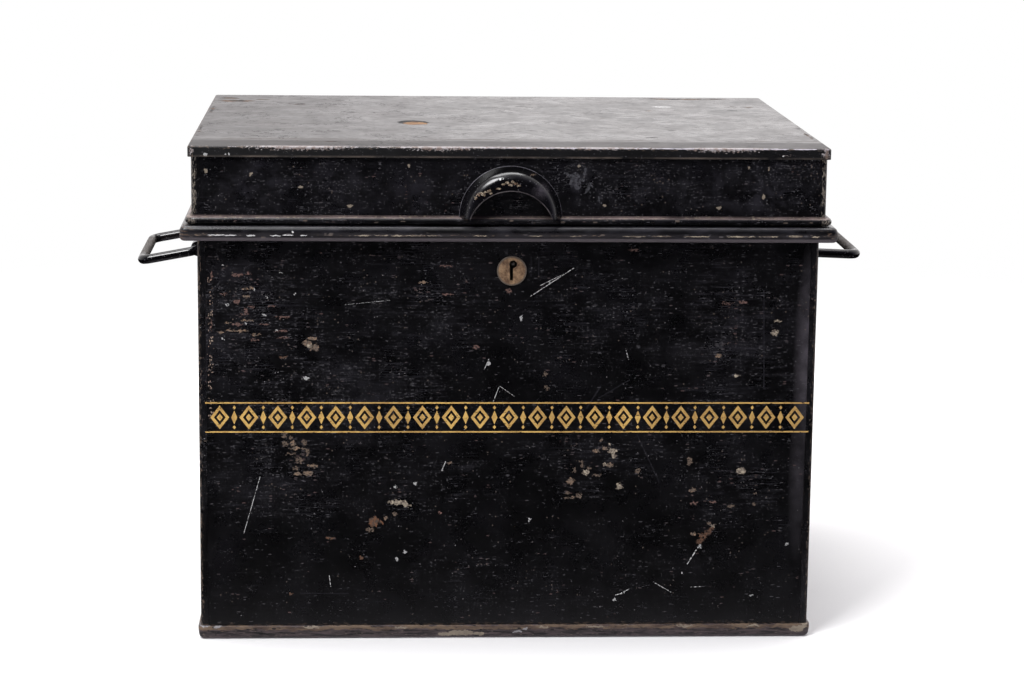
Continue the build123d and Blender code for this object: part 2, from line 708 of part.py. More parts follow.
with BuildPart() as lock_bolt:
    bolt_right = bolt_left + bolt_plate_width
    slot_length = stump_spacing + bolt_travel + 2 * (stump_radius + stump_slack)
    slot_end = stump_right + stump_radius + stump_slack
    with BuildSketch(plane_facing_front(bolt_back)):
        with Locations((bolt_left, bolt_bottom)):
            Rectangle(bolt_plate_width, bolt_top - bolt_bottom, align=(Align.MIN, Align.MIN))
        with Locations((bolt_left, nose_z)):
            Rectangle(nose_tip - bolt_left, bolt_nose_height, align=(Align.MIN, Align.CENTER))
        with Locations((bolt_left, bolt_bottom)):
            talon_bar_right = talon_x + talon_width / 2 + talon_side_wall
            Rectangle(talon_bar_right - bolt_left, shelf_top - bolt_bottom, align=(Align.MIN, Align.MIN))
        with Locations((talon_x, bolt_bottom)):
            Rectangle(talon_width, talon_depth, align=(Align.CENTER, Align.MIN), mode=Mode.SUBTRACT)
        with Locations((slot_end - slot_length / 2, nose_z)):
            SlotOverall(slot_length, 2 * (stump_radius + stump_slack), mode=Mode.SUBTRACT)
    extrude(amount=bolt_thickness)
    chamfer(lock_bolt.edges().filter_by(Axis.Y).group_by(Axis.X)[-1], bolt_nose_height / 5)
save(lock_bolt.part, "lock_bolt")

with BuildPart() as bolt_spring:
    with BuildSketch(plane_facing_front(bolt_back)):
        with BuildLine():
            spring_top = case_inside_top - spring_seat_gap - spring_sheet
            spring_low = bolt_top + spring_bolt_gap + spring_sheet / 2
            ThreePointArc((bolt_left, spring_top), ((bolt_left + bolt_right) / 2, spring_low),
                          (bolt_right, spring_top))
        trace(line_width=spring_sheet)
    extrude(amount=bolt_thickness)
save(bolt_spring.part, "bolt_spring")

with BuildPart() as lock_rivet_group:
    with BuildSketch(plane_facing_front(case_mouth + lock_sheet)):
        with Locations(*lock_rivets):
            Circle(lock_rivet_radius)
    extrude(amount=2 * lock_sheet + sheet)
    with BuildSketch(plane_facing_front(case_mouth + lock_sheet + sheet)):
        with Locations(*lock_rivets):
            Circle(lock_rivet_head)
    extrude(amount=sheet)
save(lock_rivet_group.part, "lock_rivets")

# ================================================================ strike
# Riveted inside the lid's front, it crosses over the collar and hooks down into the lock
with BuildPart() as strike:
    with BuildSketch(plane_facing_front(-lid_seat + strike_sheet)):
        with Locations((0, strike_plate_bottom)):
            Rectangle(strike_plate_width, strike_plate_height, align=(Align.CENTER, Align.MIN))
    extrude(amount=strike_sheet)
    with BuildSketch(Plane.YZ.offset(strike_tongue_x - strike_tongue_width / 2)):
        with BuildLine():
            half_strike = strike_sheet / 2
            bridge_z = strike_plate_bottom + half_strike
            hook_z = strike_bottom + half_strike
            FilletPolyline((-lid_seat + half_strike, strike_plate_bottom + strike_plate_height),
                           (-lid_seat + half_strike, bridge_z),
                           (strike_front + half_strike, bridge_z),
                           (strike_front + half_strike, hook_z),
                           (strike_back - half_strike, hook_z),
                           (strike_back - half_strike, strike_bottom + strike_hook_height),
                           radius=strike_sheet)
        trace(line_width=strike_sheet)
    extrude(amount=strike_tongue_width)
    with BuildSketch(plane_facing_front(-lid_seat + strike_sheet + overcut)):
        with Locations(*strike_rivets):
            Circle(rivet_radius + rivet_slack)
    extrude(amount=strike_sheet + 2 * overcut, mode=Mode.SUBTRACT)
save(strike.part, "strike")

with BuildPart() as strike_rivet_group:
    with BuildSketch(plane_facing_front(-lid_seat + strike_sheet)):
        with Locations(*strike_rivets):
            Circle(rivet_radius)
    extrude(amount=strike_sheet + sheet)
    with BuildSketch(plane_facing_front(-lid_seat + strike_sheet + sheet)):
        with Locations(*strike_rivets):
            Circle(head_radius)
    extrude(amount=sheet)
    with BuildSketch(plane_facing_front(-lid_face)):
        with Locations(*strike_rivets):
            Circle(head_radius)
    extrude(amount=head_height)
    fillet(strike_rivet_group.edges().group_by(Axis.Y)[0], head_height * 0.8)
save(strike_rivet_group.part, "strike_rivets")

print("overall height", round(overall_height, 2))
print("hinge axis y, z", round(hinge_y, 2), round(bead_z, 2))
print("handle pivot x", round(pivot_x, 2))
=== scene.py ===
"""Looks of the sheet-steel deed box: worn black japan, aged brass, rubbed handles and a gilt band.

Metres, in the frame of the construction model: +X to the right of the front, +Y to the back.
Wear is placed in millimetres: as x and z on the front faces, and as x and y on the lid's top.
"""

import math

import bpy
from mathutils import Matrix, Vector


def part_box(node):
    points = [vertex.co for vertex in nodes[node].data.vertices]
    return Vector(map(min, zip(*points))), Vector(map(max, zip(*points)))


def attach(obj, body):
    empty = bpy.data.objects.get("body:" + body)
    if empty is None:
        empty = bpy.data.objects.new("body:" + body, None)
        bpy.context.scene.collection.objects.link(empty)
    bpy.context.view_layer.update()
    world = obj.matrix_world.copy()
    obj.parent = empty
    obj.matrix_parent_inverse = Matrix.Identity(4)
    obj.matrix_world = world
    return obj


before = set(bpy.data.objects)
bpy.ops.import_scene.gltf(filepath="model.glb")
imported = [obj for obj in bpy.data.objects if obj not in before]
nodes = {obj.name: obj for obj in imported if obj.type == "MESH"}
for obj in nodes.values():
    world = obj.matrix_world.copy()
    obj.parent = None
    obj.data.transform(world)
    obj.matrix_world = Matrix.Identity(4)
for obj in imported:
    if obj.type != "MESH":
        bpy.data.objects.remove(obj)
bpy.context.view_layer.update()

MM = 0.001

# ---------------------------------------------------------------- places taken from the frame
front_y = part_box("front_panel")[0].y
half_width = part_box("right_end")[1].x
half_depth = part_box("right_end")[1].y
rim_low, rim_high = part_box("bottom_pan")
ledge_low, ledge_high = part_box("ledge_front")
lid_low, lid_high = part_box("lid_front")
plate_low, plate_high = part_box("lid_top")
wire_low, wire_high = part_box("lid_edge_wire")
pull_low, pull_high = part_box("finger_pull")
disc_low, disc_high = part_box("keyhole_disc")
bead_top = lid_low.z + (wire_high.z - wire_low.z) + 2 * (wire_low.z - lid_low.z)

# ---------------------------------------------------------------- colours, linear
BLACK = (0.0015, 0.0014, 0.0018)
SOOT = (0.0045, 0.0042, 0.0056)
HAZE = (0.030, 0.028, 0.038)
GREY = (0.072, 0.069, 0.078)
RUST = (0.15, 0.058, 0.022)
BROWN = (0.060, 0.040, 0.029)
TAUPE = (0.115, 0.088, 0.070)
TAN = (0.185, 0.130, 0.092)
PINK = (0.23, 0.115, 0.098)
CREAM = (0.38, 0.32, 0.24)
TIN = (0.27, 0.26, 0.27)
WHITE = (0.60, 0.60, 0.60)
GILT = (0.56, 0.345, 0.085)
IRON = (0.14, 0.125, 0.11)


class Look:
    """A material's node tree, with short calls that add nodes, link them and lay coat on coat."""

    def __init__(self, name, colour, roughness, metallic=0.0):
        self.material = bpy.data.materials.new(name)
        self.material.use_nodes = True
        self.tree = self.material.node_tree
        self.shader = self.tree.nodes["Principled BSDF"]
        self.shader.inputs["Metallic"].default_value = metallic
        self.place = self.add("ShaderNodeTexCoord").outputs["Object"]
        axes = self.add("ShaderNodeSeparateXYZ", self.place).outputs
        self.x, self.y, self.z = axes[0], axes[1], axes[2]
        self.colour = colour
        self.roughness = roughness
        self.height = None

    def add(self, kind, *inputs, **settings):
        node = self.tree.nodes.new(kind)
        for name, value in settings.items():
            setattr(node, name, value)
        for socket, value in zip(node.inputs, inputs):
            self.feed(socket, value)
        return node

    def feed(self, socket, value):
        if isinstance(value, bpy.types.NodeSocket):
            self.tree.links.new(value, socket)
        elif value is not None:
            socket.default_value = value

    def math(self, operation, a, b=None, c=None, clamp=False):
        return self.add("ShaderNodeMath", a, b, c, operation=operation, use_clamp=clamp).outputs[0]

    def vector(self, operation, a, b=None):
        node = self.add("ShaderNodeVectorMath", a, b, operation=operation)
        return node.outputs["Value" if operation in ("LENGTH", "DOT_PRODUCT") else "Vector"]

    def greatest(self, *values):
        result = values[0]
        for value in values[1:]:
            result = self.math("MAXIMUM", result, value)
        return result

    def times(self, *values):
        result = values[0]
        for value in values[1:]:
            result = self.math("MULTIPLY", result, value)
        return result

    def remap(self, value, low, high, to_low, to_high, smooth=False):
        kind = "SMOOTHSTEP" if smooth else "LINEAR"
        node = self.add("ShaderNodeMapRange", value, low, high, to_low, to_high, interpolation_type=kind)
        return node.outputs["Result"]

    def step(self, value, low, high):
        """0 below low and 1 above high, smooth between."""
        return self.remap(value, low, high, 0.0, 1.0, smooth=True)

    def near(self, value, centre, reach):
        """1 where value is centre, falling to 0 at reach from it, all in metres."""
        away = self.math("ABSOLUTE", self.math("SUBTRACT", value, centre))
        return self.math("SUBTRACT", 1.0, self.math("DIVIDE", away, reach), clamp=True)

    def noise(self, size, detail=4.0, rough=0.55, stretch=(1, 1, 1), shift=0.0, twist=0.0):
        """Noise whose features are about size metres across, drawn out along each axis by stretch."""
        scaled = self.vector("MULTIPLY", self.place, [1 / (size * s) for s in stretch])
        moved = self.vector("ADD", scaled, (shift, 0.7 * shift, 1.3 * shift))
        node = self.add("ShaderNodeTexNoise", moved)
        node.inputs["Scale"].default_value = 1.0
        node.inputs["Detail"].default_value = detail
        node.inputs["Roughness"].default_value = rough
        node.inputs["Distortion"].default_value = twist
        return node.outputs["Fac"]

    def mix(self, amount, a, b):
        node = self.add("ShaderNodeMix", data_type="RGBA")
        self.feed(node.inputs[0], amount)
        for socket, value in ((node.inputs[6], a), (node.inputs[7], b)):
            self.feed(socket, value if isinstance(value, bpy.types.NodeSocket) else (*value, 1.0))
        return node.outputs[2]

    def mix_number(self, amount, a, b):
        return self.add("ShaderNodeMix", amount, None, a, b, data_type="FLOAT").outputs[0]

    def away(self, row, flat, place):
        """How far the place is from the ellipse's centre, 1 being its edge."""
        across, up, half_across, half_up = [value * MM for value in row]
        if flat == "xz":
            scale, offset = (1 / half_across, 0, 1 / half_up), (-across / half_across, 0, -up / half_up)
        else:
            scale, offset = (1 / half_across, 1 / half_up, 0), (-across / half_across, -up / half_up, 0)
        scaled = self.add("ShaderNodeVectorMath", place, scale, offset, operation="MULTIPLY_ADD")
        return self.vector("LENGTH", scaled.outputs["Vector"])

    def spots(self, rows, flat="xz"):
        """The strongest of many soft ellipses, each (across, up, half-width, half-height, strength)."""
        found = [self.math("MULTIPLY_ADD", self.away(row[:4], flat, self.place), -row[4], row[4]) for row in rows]
        return self.math("MAXIMUM", self.greatest(*found), 0.0)

    def chips(self, rows, shaken, flat="xz"):
        """Crisp ragged chips, each (across, up, half-width, half-height), drawn on a shaken place."""
        nearest = self.away(rows[0], flat, shaken)
        for row in rows[1:]:
            nearest = self.math("MINIMUM", nearest, self.away(row, flat, shaken))
        return self.remap(nearest, 0.88, 1.0, 1.0, 0.0, smooth=True)

    def shaken(self, size, reach, shift=0.0):
        """The place, moved about by noise, so that what is drawn on it gets ragged outlines."""
        scaled = self.vector("MULTIPLY", self.place, [1 / size] * 3)
        node = self.add("ShaderNodeTexNoise", self.vector("ADD", scaled, (shift, 0.7 * shift, 1.3 * shift)))
        node.inputs["Scale"].default_value = 1.0
        node.inputs["Detail"].default_value = 3.0
        centred = self.vector("SUBTRACT", node.outputs["Color"], (0.5, 0.5, 0.5))
        return self.vector("ADD", self.place, self.vector("MULTIPLY", centred, [4 * reach] * 3))

    def dots(self, density, pitch, radius, stretch=(1, 1, 1), shift=0.0):
        """Crisp specks up to radius, at most one in each cell of about the pitch."""
        scaled = self.vector("MULTIPLY", self.place, [1 / (pitch * s) for s in stretch])
        node = self.add("ShaderNodeTexVoronoi", self.vector("ADD", scaled, (shift, 0.7 * shift, 1.3 * shift)))
        node.inputs["Scale"].default_value = 1.0
        picks = self.add("ShaderNodeSeparateColor", node.outputs["Color"]).outputs
        reach = self.math("MULTIPLY_ADD", picks[1], 0.6 * radius / pitch, 0.4 * radius / pitch)
        inside = self.math("LESS_THAN", node.outputs["Distance"], reach)
        return self.times(inside, self.math("LESS_THAN", picks[0], density))

    def scratches(self, rows, place=None):
        """1 within a hair's width of straight lines on the front, each (x, z, to x, to z, half-width)."""
        on_face = self.vector("MULTIPLY", place or self.place, (1, 0, 1))
        found = []
        for x, z, to_x, to_z, width in rows:
            start = Vector((x * MM, 0, z * MM))
            run = Vector((to_x * MM, 0, to_z * MM)) - start
            away = self.vector("SUBTRACT", on_face, start)
            share = self.vector("DOT_PRODUCT", away, run / run.length_squared)
            share = self.math("MINIMUM", self.math("MAXIMUM", share, 0.0), 1.0)
            stem = self.add("ShaderNodeVectorMath", run, operation="SCALE")
            self.feed(stem.inputs["Scale"], share)
            gap = self.vector("LENGTH", self.vector("SUBTRACT", away, stem.outputs["Vector"]))
            found.append(self.remap(gap, 0.4 * width * MM, 1.2 * width * MM, 1.0, 0.0, smooth=True))
        return self.greatest(*found)

    def flakes(self, density, size, stretch=(1, 1, 1), shift=0.0, edge=0.03, rough=0.6):
        """Ragged islands: none where density is 0, nearly everything where it is 1."""
        grain = self.noise(size, 6.0, rough, stretch, shift)
        level = self.math("MULTIPLY_ADD", density, 0.6, grain)
        islands = self.step(level, 0.85, 0.85 + edge)
        return self.times(islands, self.math("MULTIPLY", density, 20.0, clamp=True))

    def lay(self, mask, colour, roughness, relief=0.0):
        """Lay a colour and a gloss over what is there; relief is its height, from -1 to 1."""
        self.colour = self.mix(mask, self.colour, colour)
        self.roughness = self.mix_number(mask, self.roughness, roughness)
        if relief:
            base = 0.0 if self.height is None else self.height
            self.height = self.math("MULTIPLY_ADD", mask, relief, base)

    def done(self, relief=0.05 * MM, swell=None):
        """Link what was laid. Relief is the height of 1 in metres; swell is a normal to start from."""
        colour = self.colour if isinstance(self.colour, bpy.types.NodeSocket) else (*self.colour, 1.0)
        self.feed(self.shader.inputs["Base Color"], colour)
        self.feed(self.shader.inputs["Roughness"], self.roughness)
        normal = swell
        if self.height is not None:
            node = self.add("ShaderNodeBump")
            node.inputs["Distance"].default_value = relief
            self.feed(node.inputs["Height"], self.height)
            if swell is not None:
                self.feed(node.inputs["Normal"], swell)
            normal = node.outputs["Normal"]
        if normal is not None:
            self.feed(self.shader.inputs["Normal"], normal)
        return self.material

    def swell(self, size, distance, detail=2.0, stretch=(1, 1, 1), shift=0.0, under=None):
        """A normal for gentle waves in the sheet."""
        node = self.add("ShaderNodeBump")
        node.inputs["Distance"].default_value = distance
        self.feed(node.inputs["Height"], self.noise(size, detail, 0.5, stretch, shift))
        if under is not None:
            self.feed(node.inputs["Normal"], under)
        return node.outputs["Normal"]


def japan(name, shift=0.0):
    """Black japan before its wear: cloudy, with dull and glossy patches."""
    look = Look(name, BLACK, 0.3)
    look.colour = look.mix(look.step(look.noise(40 * MM, 5, 0.62, shift=shift), 0.40, 0.72), BLACK, SOOT)
    look.roughness = look.remap(look.noise(22 * MM, 5, 0.6, shift=shift + 5), 0.3, 0.7, 0.21, 0.38)
    return look


def speckle(look, density, shift, across=(1, 0, 0)):
    """What years of handling leave on japan: pinholes, larger specks and short level dashes, in patches."""
    drawn_out = [3.4 if along else 1 for along in across]
    rows = look.noise(5 * MM, 3, 0.6, [5 if along else 1 for along in across[:2]] + [0.45], shift + 8)
    patches = look.remap(look.noise(13 * MM, 3, 0.6, shift=shift + 1), 0.38, 0.66, 0.25, 1.7)
    patchy = look.times(density, patches, look.remap(rows, 0.36, 0.62, 0.35, 1.55))
    brushed = look.step(look.noise(1.1 * MM, 4, 0.6, [14 if along else 1 for along in across[:2]] + [0.40], shift + 2),
                        0.48, 0.70)
    look.lay(look.times(brushed, look.step(patchy, 0.04, 0.40), 0.50), HAZE, 0.5)
    look.lay(look.times(look.dots(look.math("MULTIPLY", patchy, 0.95), 1.0 * MM, 0.40 * MM, shift=shift + 3), 0.60),
             GREY, 0.5)
    tint = look.noise(17 * MM, 2, shift=shift + 4)
    look.lay(look.times(look.dots(look.math("MULTIPLY", patchy, 0.40), 1.9 * MM, 0.58 * MM, shift=shift + 5), 0.65),
             look.mix(look.step(tint, 0.46, 0.58), GREY, TAUPE), 0.5)
    dashes = look.dots(look.math("MULTIPLY", patchy, 0.95), 1.25 * MM, 0.40 * MM, (*drawn_out[:2], 0.75), shift + 6)
    look.lay(look.times(dashes, 0.62), look.mix(look.step(tint, 0.50, 0.66), GREY, (0.13, 0.078, 0.075)), 0.5)
    fine_dashes = look.dots(look.math("MULTIPLY", patchy, 0.7), 1.0 * MM, 0.30 * MM, (*drawn_out[:2], 0.6), shift + 9)
    look.lay(look.times(fine_dashes, 0.7), GREY, 0.5)
    look.lay(look.times(look.dots(look.math("MULTIPLY", patchy, 0.09), 1.8 * MM, 0.48 * MM, shift=shift + 7), 0.8),
             TIN, 0.4)


# ================================================================ the body's front
FRONT_FINE = [
    (-175, 225, 75, 70, 0.62), (-120, 165, 120, 60, 0.50), (-60, 225, 90, 55, 0.40),
    (-150, 120, 70, 60, 0.44), (60, 215, 110, 70, 0.28), (150, 205, 70, 90, 0.44),
    (60, 130, 120, 50, 0.28), (150, 110, 70, 60, 0.32), (-60, 110, 90, 50, 0.28),
    (0, 40, 280, 60, 0.16), (-40, 262, 240, 14, 0.30),
]
# x, z, half-width and half-height of the chips, in millimetres
FRONT_TAUPE_CHIPS = [
    (-147.5, 139, 1.7, 2.2), (-143, 137, 1.2, 1.3), (-146.5, 133, 2.0, 2.2), (-134, 134, 1.9, 2.0),
    (-132, 127.5, 1.3, 2.8), (-135.5, 129.7, 3.4, 0.6), (-142.5, 126.3, 3.4, 0.7), (-137.5, 121.7, 2.3, 2.4),
    (-91, 74.6, 3.2, 1.6), (-140, 116.5, 2.0, 1.2), (49.4, 119, 1.2, 3.0), (54, 116, 1.5, 1.2),
    (59.5, 111.5, 3.4, 0.7), (40, 99.3, 1.9, 1.1), (40, 96, 2.0, 1.2), (47.6, 97.3, 2.0, 2.0),
    (86.8, 114.3, 1.8, 1.9), (149, 90.2, 2.4, 1.3), (165.4, 98.6, 1.5, 0.8), (165, 91.6, 1.2, 1.4),
    (121.3, 121, 2.0, 2.8), (-129.5, 197, 2.0, 1.2), (25.5, 170.6, 1.6, 1.8), (24, 180, 1.2, 2.0),
    (61.5, 135.4, 1.4, 0.9), (44.5, 115, 1.2, 1.7), (-74.4, 85.4, 1.5, 1.5), (135, 78.3, 1.6, 1.0),
]
FRONT_TAN_CHIPS = [
    (-141.6, 133.5, 2.0, 2.0), (-140, 130, 3.0, 1.1), (-128.5, 118, 3.6, 1.3), (-132, 113, 3.6, 1.6),
    (-138.7, 112.5, 2.8, 1.1), (58.8, 127.8, 2.1, 1.1), (64.6, 129.6, 2.1, 0.9), (67.7, 118.4, 3.0, 1.5),
    (42.1, 107.4, 2.5, 2.1), (43.8, 96, 1.5, 1.1), (-132.5, 200.5, 3.4, 2.0), (-128.5, 203.5, 3.0, 1.2),
    (-126.5, 198, 2.0, 2.4), (123.5, 101.2, 2.3, 1.7), (-80.6, 82.5, 1.5, 1.5), (138.8, 192.2, 2.2, 0.9),
    (125, 71, 2.1, 1.0), (-56.6, 241, 3.2, 0.8), (-38, 120, 2.4, 0.8),
    (-171.5, 215.4, 5.0, 0.6), (-183.5, 214, 3.0, 0.5), (-170, 236.6, 4.5, 0.5), (-171.5, 231.2, 2.4, 1.1),
    (-178, 208.6, 8.0, 0.7), (-165, 206, 3.4, 0.5), (-188, 207.5, 2.6, 0.5),
]
FRONT_CREAM_CHIPS = [
    (-72.5, 93.2, 6.8, 1.7), (-66.5, 91.2, 2.6, 1.2), (69.6, 127.8, 3.1, 1.7), (70.5, 124.4, 2.0, 1.9),
    (51.9, 113.3, 2.7, 1.9), (74.6, 103.9, 2.2, 2.3), (155.7, 114.2, 3.2, 2.6), (177.4, 215.7, 3.0, 0.8),
    (175.7, 208, 2.4, 2.2), (151, 179, 2.2, 1.1), (138, 76.5, 1.5, 1.2), (64.4, 118.6, 1.5, 1.3),
    (-130.5, 198.6, 1.8, 1.5), (67.5, 132.4, 0.9, 0.9),
]
FRONT_PINK_CHIPS = [
    (-147.8, 217.8, 5.0, 0.8), (-176.8, 245.5, 4.0, 0.9), (-170, 246.5, 3.0, 0.6), (-199, 217.5, 3.4, 0.6),
    (-178, 213, 3.6, 0.8), (-166, 202.5, 3.0, 0.6), (-148, 204, 5.0, 0.6), (-41.7, 251.8, 4.6, 0.7),
    (-40, 233, 4.6, 0.8), (-21.6, 198, 2.4, 1.2), (143, 227.5, 4.2, 0.6), (154, 228.2, 3.4, 0.7),
    (-0.3, 235.4, 1.9, 1.4), (81, 262.8, 3.4, 0.7), (124.8, 92.3, 2.7, 1.0), (137.1, 93, 2.7, 0.9),
    (-44.5, 86, 1.4, 1.0), (-178, 228, 2.0, 1.4), (-172, 222, 1.4, 1.8), (-126, 197, 1.5, 0.8),
    (-172, 219.6, 3.5, 0.5), (-167.8, 224.5, 2.4, 0.8), (-149.5, 208.6, 5.0, 0.6), (-194, 245.6, 0.7, 3.0),
    (-194.6, 212, 0.6, 4.0), (-160, 213, 3.0, 0.5), (-186, 233, 2.6, 0.5), (-155, 225, 2.6, 0.5),
]
FRONT_RUST_CHIPS = [
    (-88.3, 80, 3.4, 3.8), (-117.4, 69, 3.4, 0.9), (-96.8, 55, 1.5, 1.3), (-143.6, 30.5, 1.2, 1.1),
    (-83.6, 79.7, 1.1, 1.4), (129.6, 70.5, 1.2, 1.6), (-148, 191, 2.6, 0.7),
]
FRONT_WHITE_CHIPS = [
    (-187, 252, 0.9, 0.6), (-166, 236, 0.8, 0.7), (-158, 231, 0.7, 0.9), (-149, 247, 0.9, 0.5), (-184, 226, 0.8, 0.8),
    (-172, 214, 0.7, 0.7), (-160, 219, 1.0, 0.5), (-140, 233, 0.7, 0.6), (-152, 209, 0.8, 0.6), (-187, 203, 0.9, 0.6),
    (14.7, 81.3, 0.8, 1.2), (-67.6, 59, 1.5, 0.9), (-72.9, 54.3, 0.9, 1.3), (-74.1, 103.6, 1.1, 0.8),
    (-133, 177, 2.4, 1.0), (7.8, 217.4, 0.8, 1.8), (-43, 115, 0.8, 0.7), (26.5, 240.5, 0.9, 0.7),
    (165, 28.6, 1.2, 0.7), (188, 64, 1.4, 0.6), (129.5, 62.5, 0.8, 1.2), (117.8, 44.3, 0.8, 0.8),
    (72.8, 25.8, 1.1, 0.7), (-13.3, 187, 1.2, 1.6), (-61, 106, 1.2, 0.9),
]
FRONT_SCRATCHES = [
    (14, 232, 42, 250.7, 0.20), (129.5, 64, 121.4, 50.6, 0.42), (77.1, 30.3, 82.4, 33, 0.26),
    (73.5, 29, 79.5, 30.6, 0.30), (99.8, 37.2, 110.7, 30.9, 0.22), (-43.4, 115.1, -41, 121, 0.24),
    (-13, 190, -16, 183, 0.2), (-117.9, 43, -117, 35.5, 0.26), (-6, 172, -10, 161, 0.2),
    (-6, 172, 4, 165, 0.18), (77, 197, 79, 190, 0.26), (124.1, 34.3, 130.6, 34.6, 0.30),
    (-163.4, 110.5, -174.2, 72.4, 0.20), (-108, 226, -78, 229, 0.10), (20, 239, 34, 246, 0.16),
]
FRONT_FAINT_LINES = [
    (167.6, 236, 169.4, 170, 0.35), (85.7, 139, 101, 107, 0.35), (-137, 31, -105, 30.6, 0.3),
    (14, 258, 14, 245, 0.35), (19, 258, 19, 245, 0.35), (60, 164, 80, 176, 0.3), (52, 157, 61, 172, 0.5),
]
FRONT_SCRAPE = [(137.5, 75.3, 134.5, 72.6, 1.3), (134.8, 72.6, 129.0, 65.6, 1.9)]
SEAM_SPECKS = (-195.0, 196.0, 54.0)
# Painted sheen along the front's right and left edges: x, z, half-width and half-height in millimetres, and strength
FRONT_PAINTED_SHEEN = [(197, 190, 9, 80, 1.6), (194, 110, 7, 60, 0.8), (-201.5, 200, 4.5, 75, 1.5)]


def front_look():
    look = japan("japan_front")
    fine = look.spots(FRONT_FINE)
    clouds = look.step(look.noise(24 * MM, 5, 0.66, (1.6, 1, 0.8), 3.0), 0.46, 0.76)
    look.lay(look.times(clouds, look.step(fine, 0.02, 0.5), 0.34), HAZE, 0.5)
    # Painted sheen: a lighter lilac colour laid along the front's ends
    look.lay(look.times(look.spots(FRONT_PAINTED_SHEEN), look.remap(look.noise(9 * MM, 4), 0.3, 0.7, 0.3, 1.0), 0.8),
             (0.054, 0.047, 0.058), 0.45)
    speckle(look, look.math("ADD", fine, 0.03), 11.0)
    x, middle, reach = SEAM_SPECKS
    beside = look.times(look.near(look.x, x * MM, 2.4 * MM), look.step(look.near(look.z, middle * MM, reach * MM), 0, 0.15))
    look.lay(look.times(look.dots(look.math("MULTIPLY", beside, 0.85), 1.3 * MM, 0.55 * MM, (0.7, 1, 1.3), 61.0), 0.85),
             look.mix(look.noise(5 * MM), PINK, CREAM), 0.5)
    in_from_end = look.math("SUBTRACT", half_width, look.math("ABSOLUTE", look.x))
    corner = look.math("SUBTRACT", 1.0, look.math("DIVIDE", in_from_end, 5 * MM), clamp=True)
    look.lay(look.times(look.flakes(look.math("MULTIPLY", corner, 0.62), 1.3 * MM, (0.6, 1, 2.0), 7.0, 0.06), 0.75),
             look.mix(look.step(look.noise(12 * MM), 0.42, 0.6), BROWN, GREY), 0.5, -0.5)
    look.lay(look.times(look.dots(look.math("MULTIPLY", corner, 0.9), 1.4 * MM, 0.6 * MM, (0.8, 1, 1.8), 63.0), 0.8),
             look.mix(look.noise(7 * MM), PINK, CREAM), 0.5)
    foot = look.math("SUBTRACT", 1.0, look.math(
        "DIVIDE", look.math("SUBTRACT", look.z, rim_high.z), 6 * MM), clamp=True)
    look.lay(look.times(look.flakes(look.math("MULTIPLY", foot, 0.6), 1.4 * MM, (2.5, 1, 0.7), 9.0), 0.7), BROWN, 0.7)

    outside = look.math("LESS_THAN", look.y, front_y + 0.45 * MM)
    ragged = look.shaken(1.7 * MM, 1.25 * MM, 5.0)
    torn = look.step(look.noise(1.1 * MM, 3, 0.65, (1.4, 1, 0.9), 8.0), 0.40, 0.50)
    torn = look.math("MULTIPLY", torn, outside)
    blotch = look.noise(2.2 * MM, 4, 0.65, shift=21.0)
    look.lay(look.times(look.chips(FRONT_PINK_CHIPS, ragged), torn, 0.8), look.mix(blotch, BROWN, PINK), 0.6, -0.6)
    look.lay(look.times(look.chips(FRONT_RUST_CHIPS, ragged), outside, 0.95),
             look.mix(look.step(blotch, 0.38, 0.62), BROWN, RUST), 0.65, -0.8)
    look.lay(look.times(look.chips(FRONT_TAUPE_CHIPS, ragged), torn, 0.85), look.mix(blotch, BROWN, TAN), 0.6, -0.6)
    look.lay(look.times(look.chips(FRONT_TAN_CHIPS, ragged), outside, look.remap(torn, 0, 1, 0.25, 0.9)),
             look.mix(look.step(blotch, 0.35, 0.65), TAUPE, (0.23, 0.145, 0.09)), 0.6, -0.8)
    look.lay(look.times(look.chips(FRONT_CREAM_CHIPS, ragged), outside, look.remap(torn, 0, 1, 0.45, 0.95)),
             look.mix(look.step(blotch, 0.38, 0.64), TAUPE, CREAM), 0.6, -1.0)
    look.lay(look.times(look.scratches(FRONT_SCRAPE, place=ragged), torn), look.mix(blotch, BROWN, RUST), 0.6, -0.8)
    look.lay(look.times(look.scratches(FRONT_FAINT_LINES), 0.4), HAZE, 0.5)
    broken = look.step(look.noise(1.5 * MM, 3, 0.7, shift=30.0), 0.42, 0.54)
    look.lay(look.times(look.scratches(FRONT_SCRATCHES), broken, outside, 0.9), WHITE, 0.5, -0.8)
    look.lay(look.times(look.chips(FRONT_WHITE_CHIPS, ragged), outside, 0.75), (0.42, 0.42, 0.42), 0.6)
    return look.done(swell=look.swell(90 * MM, 1.0 * MM, shift=2.0))


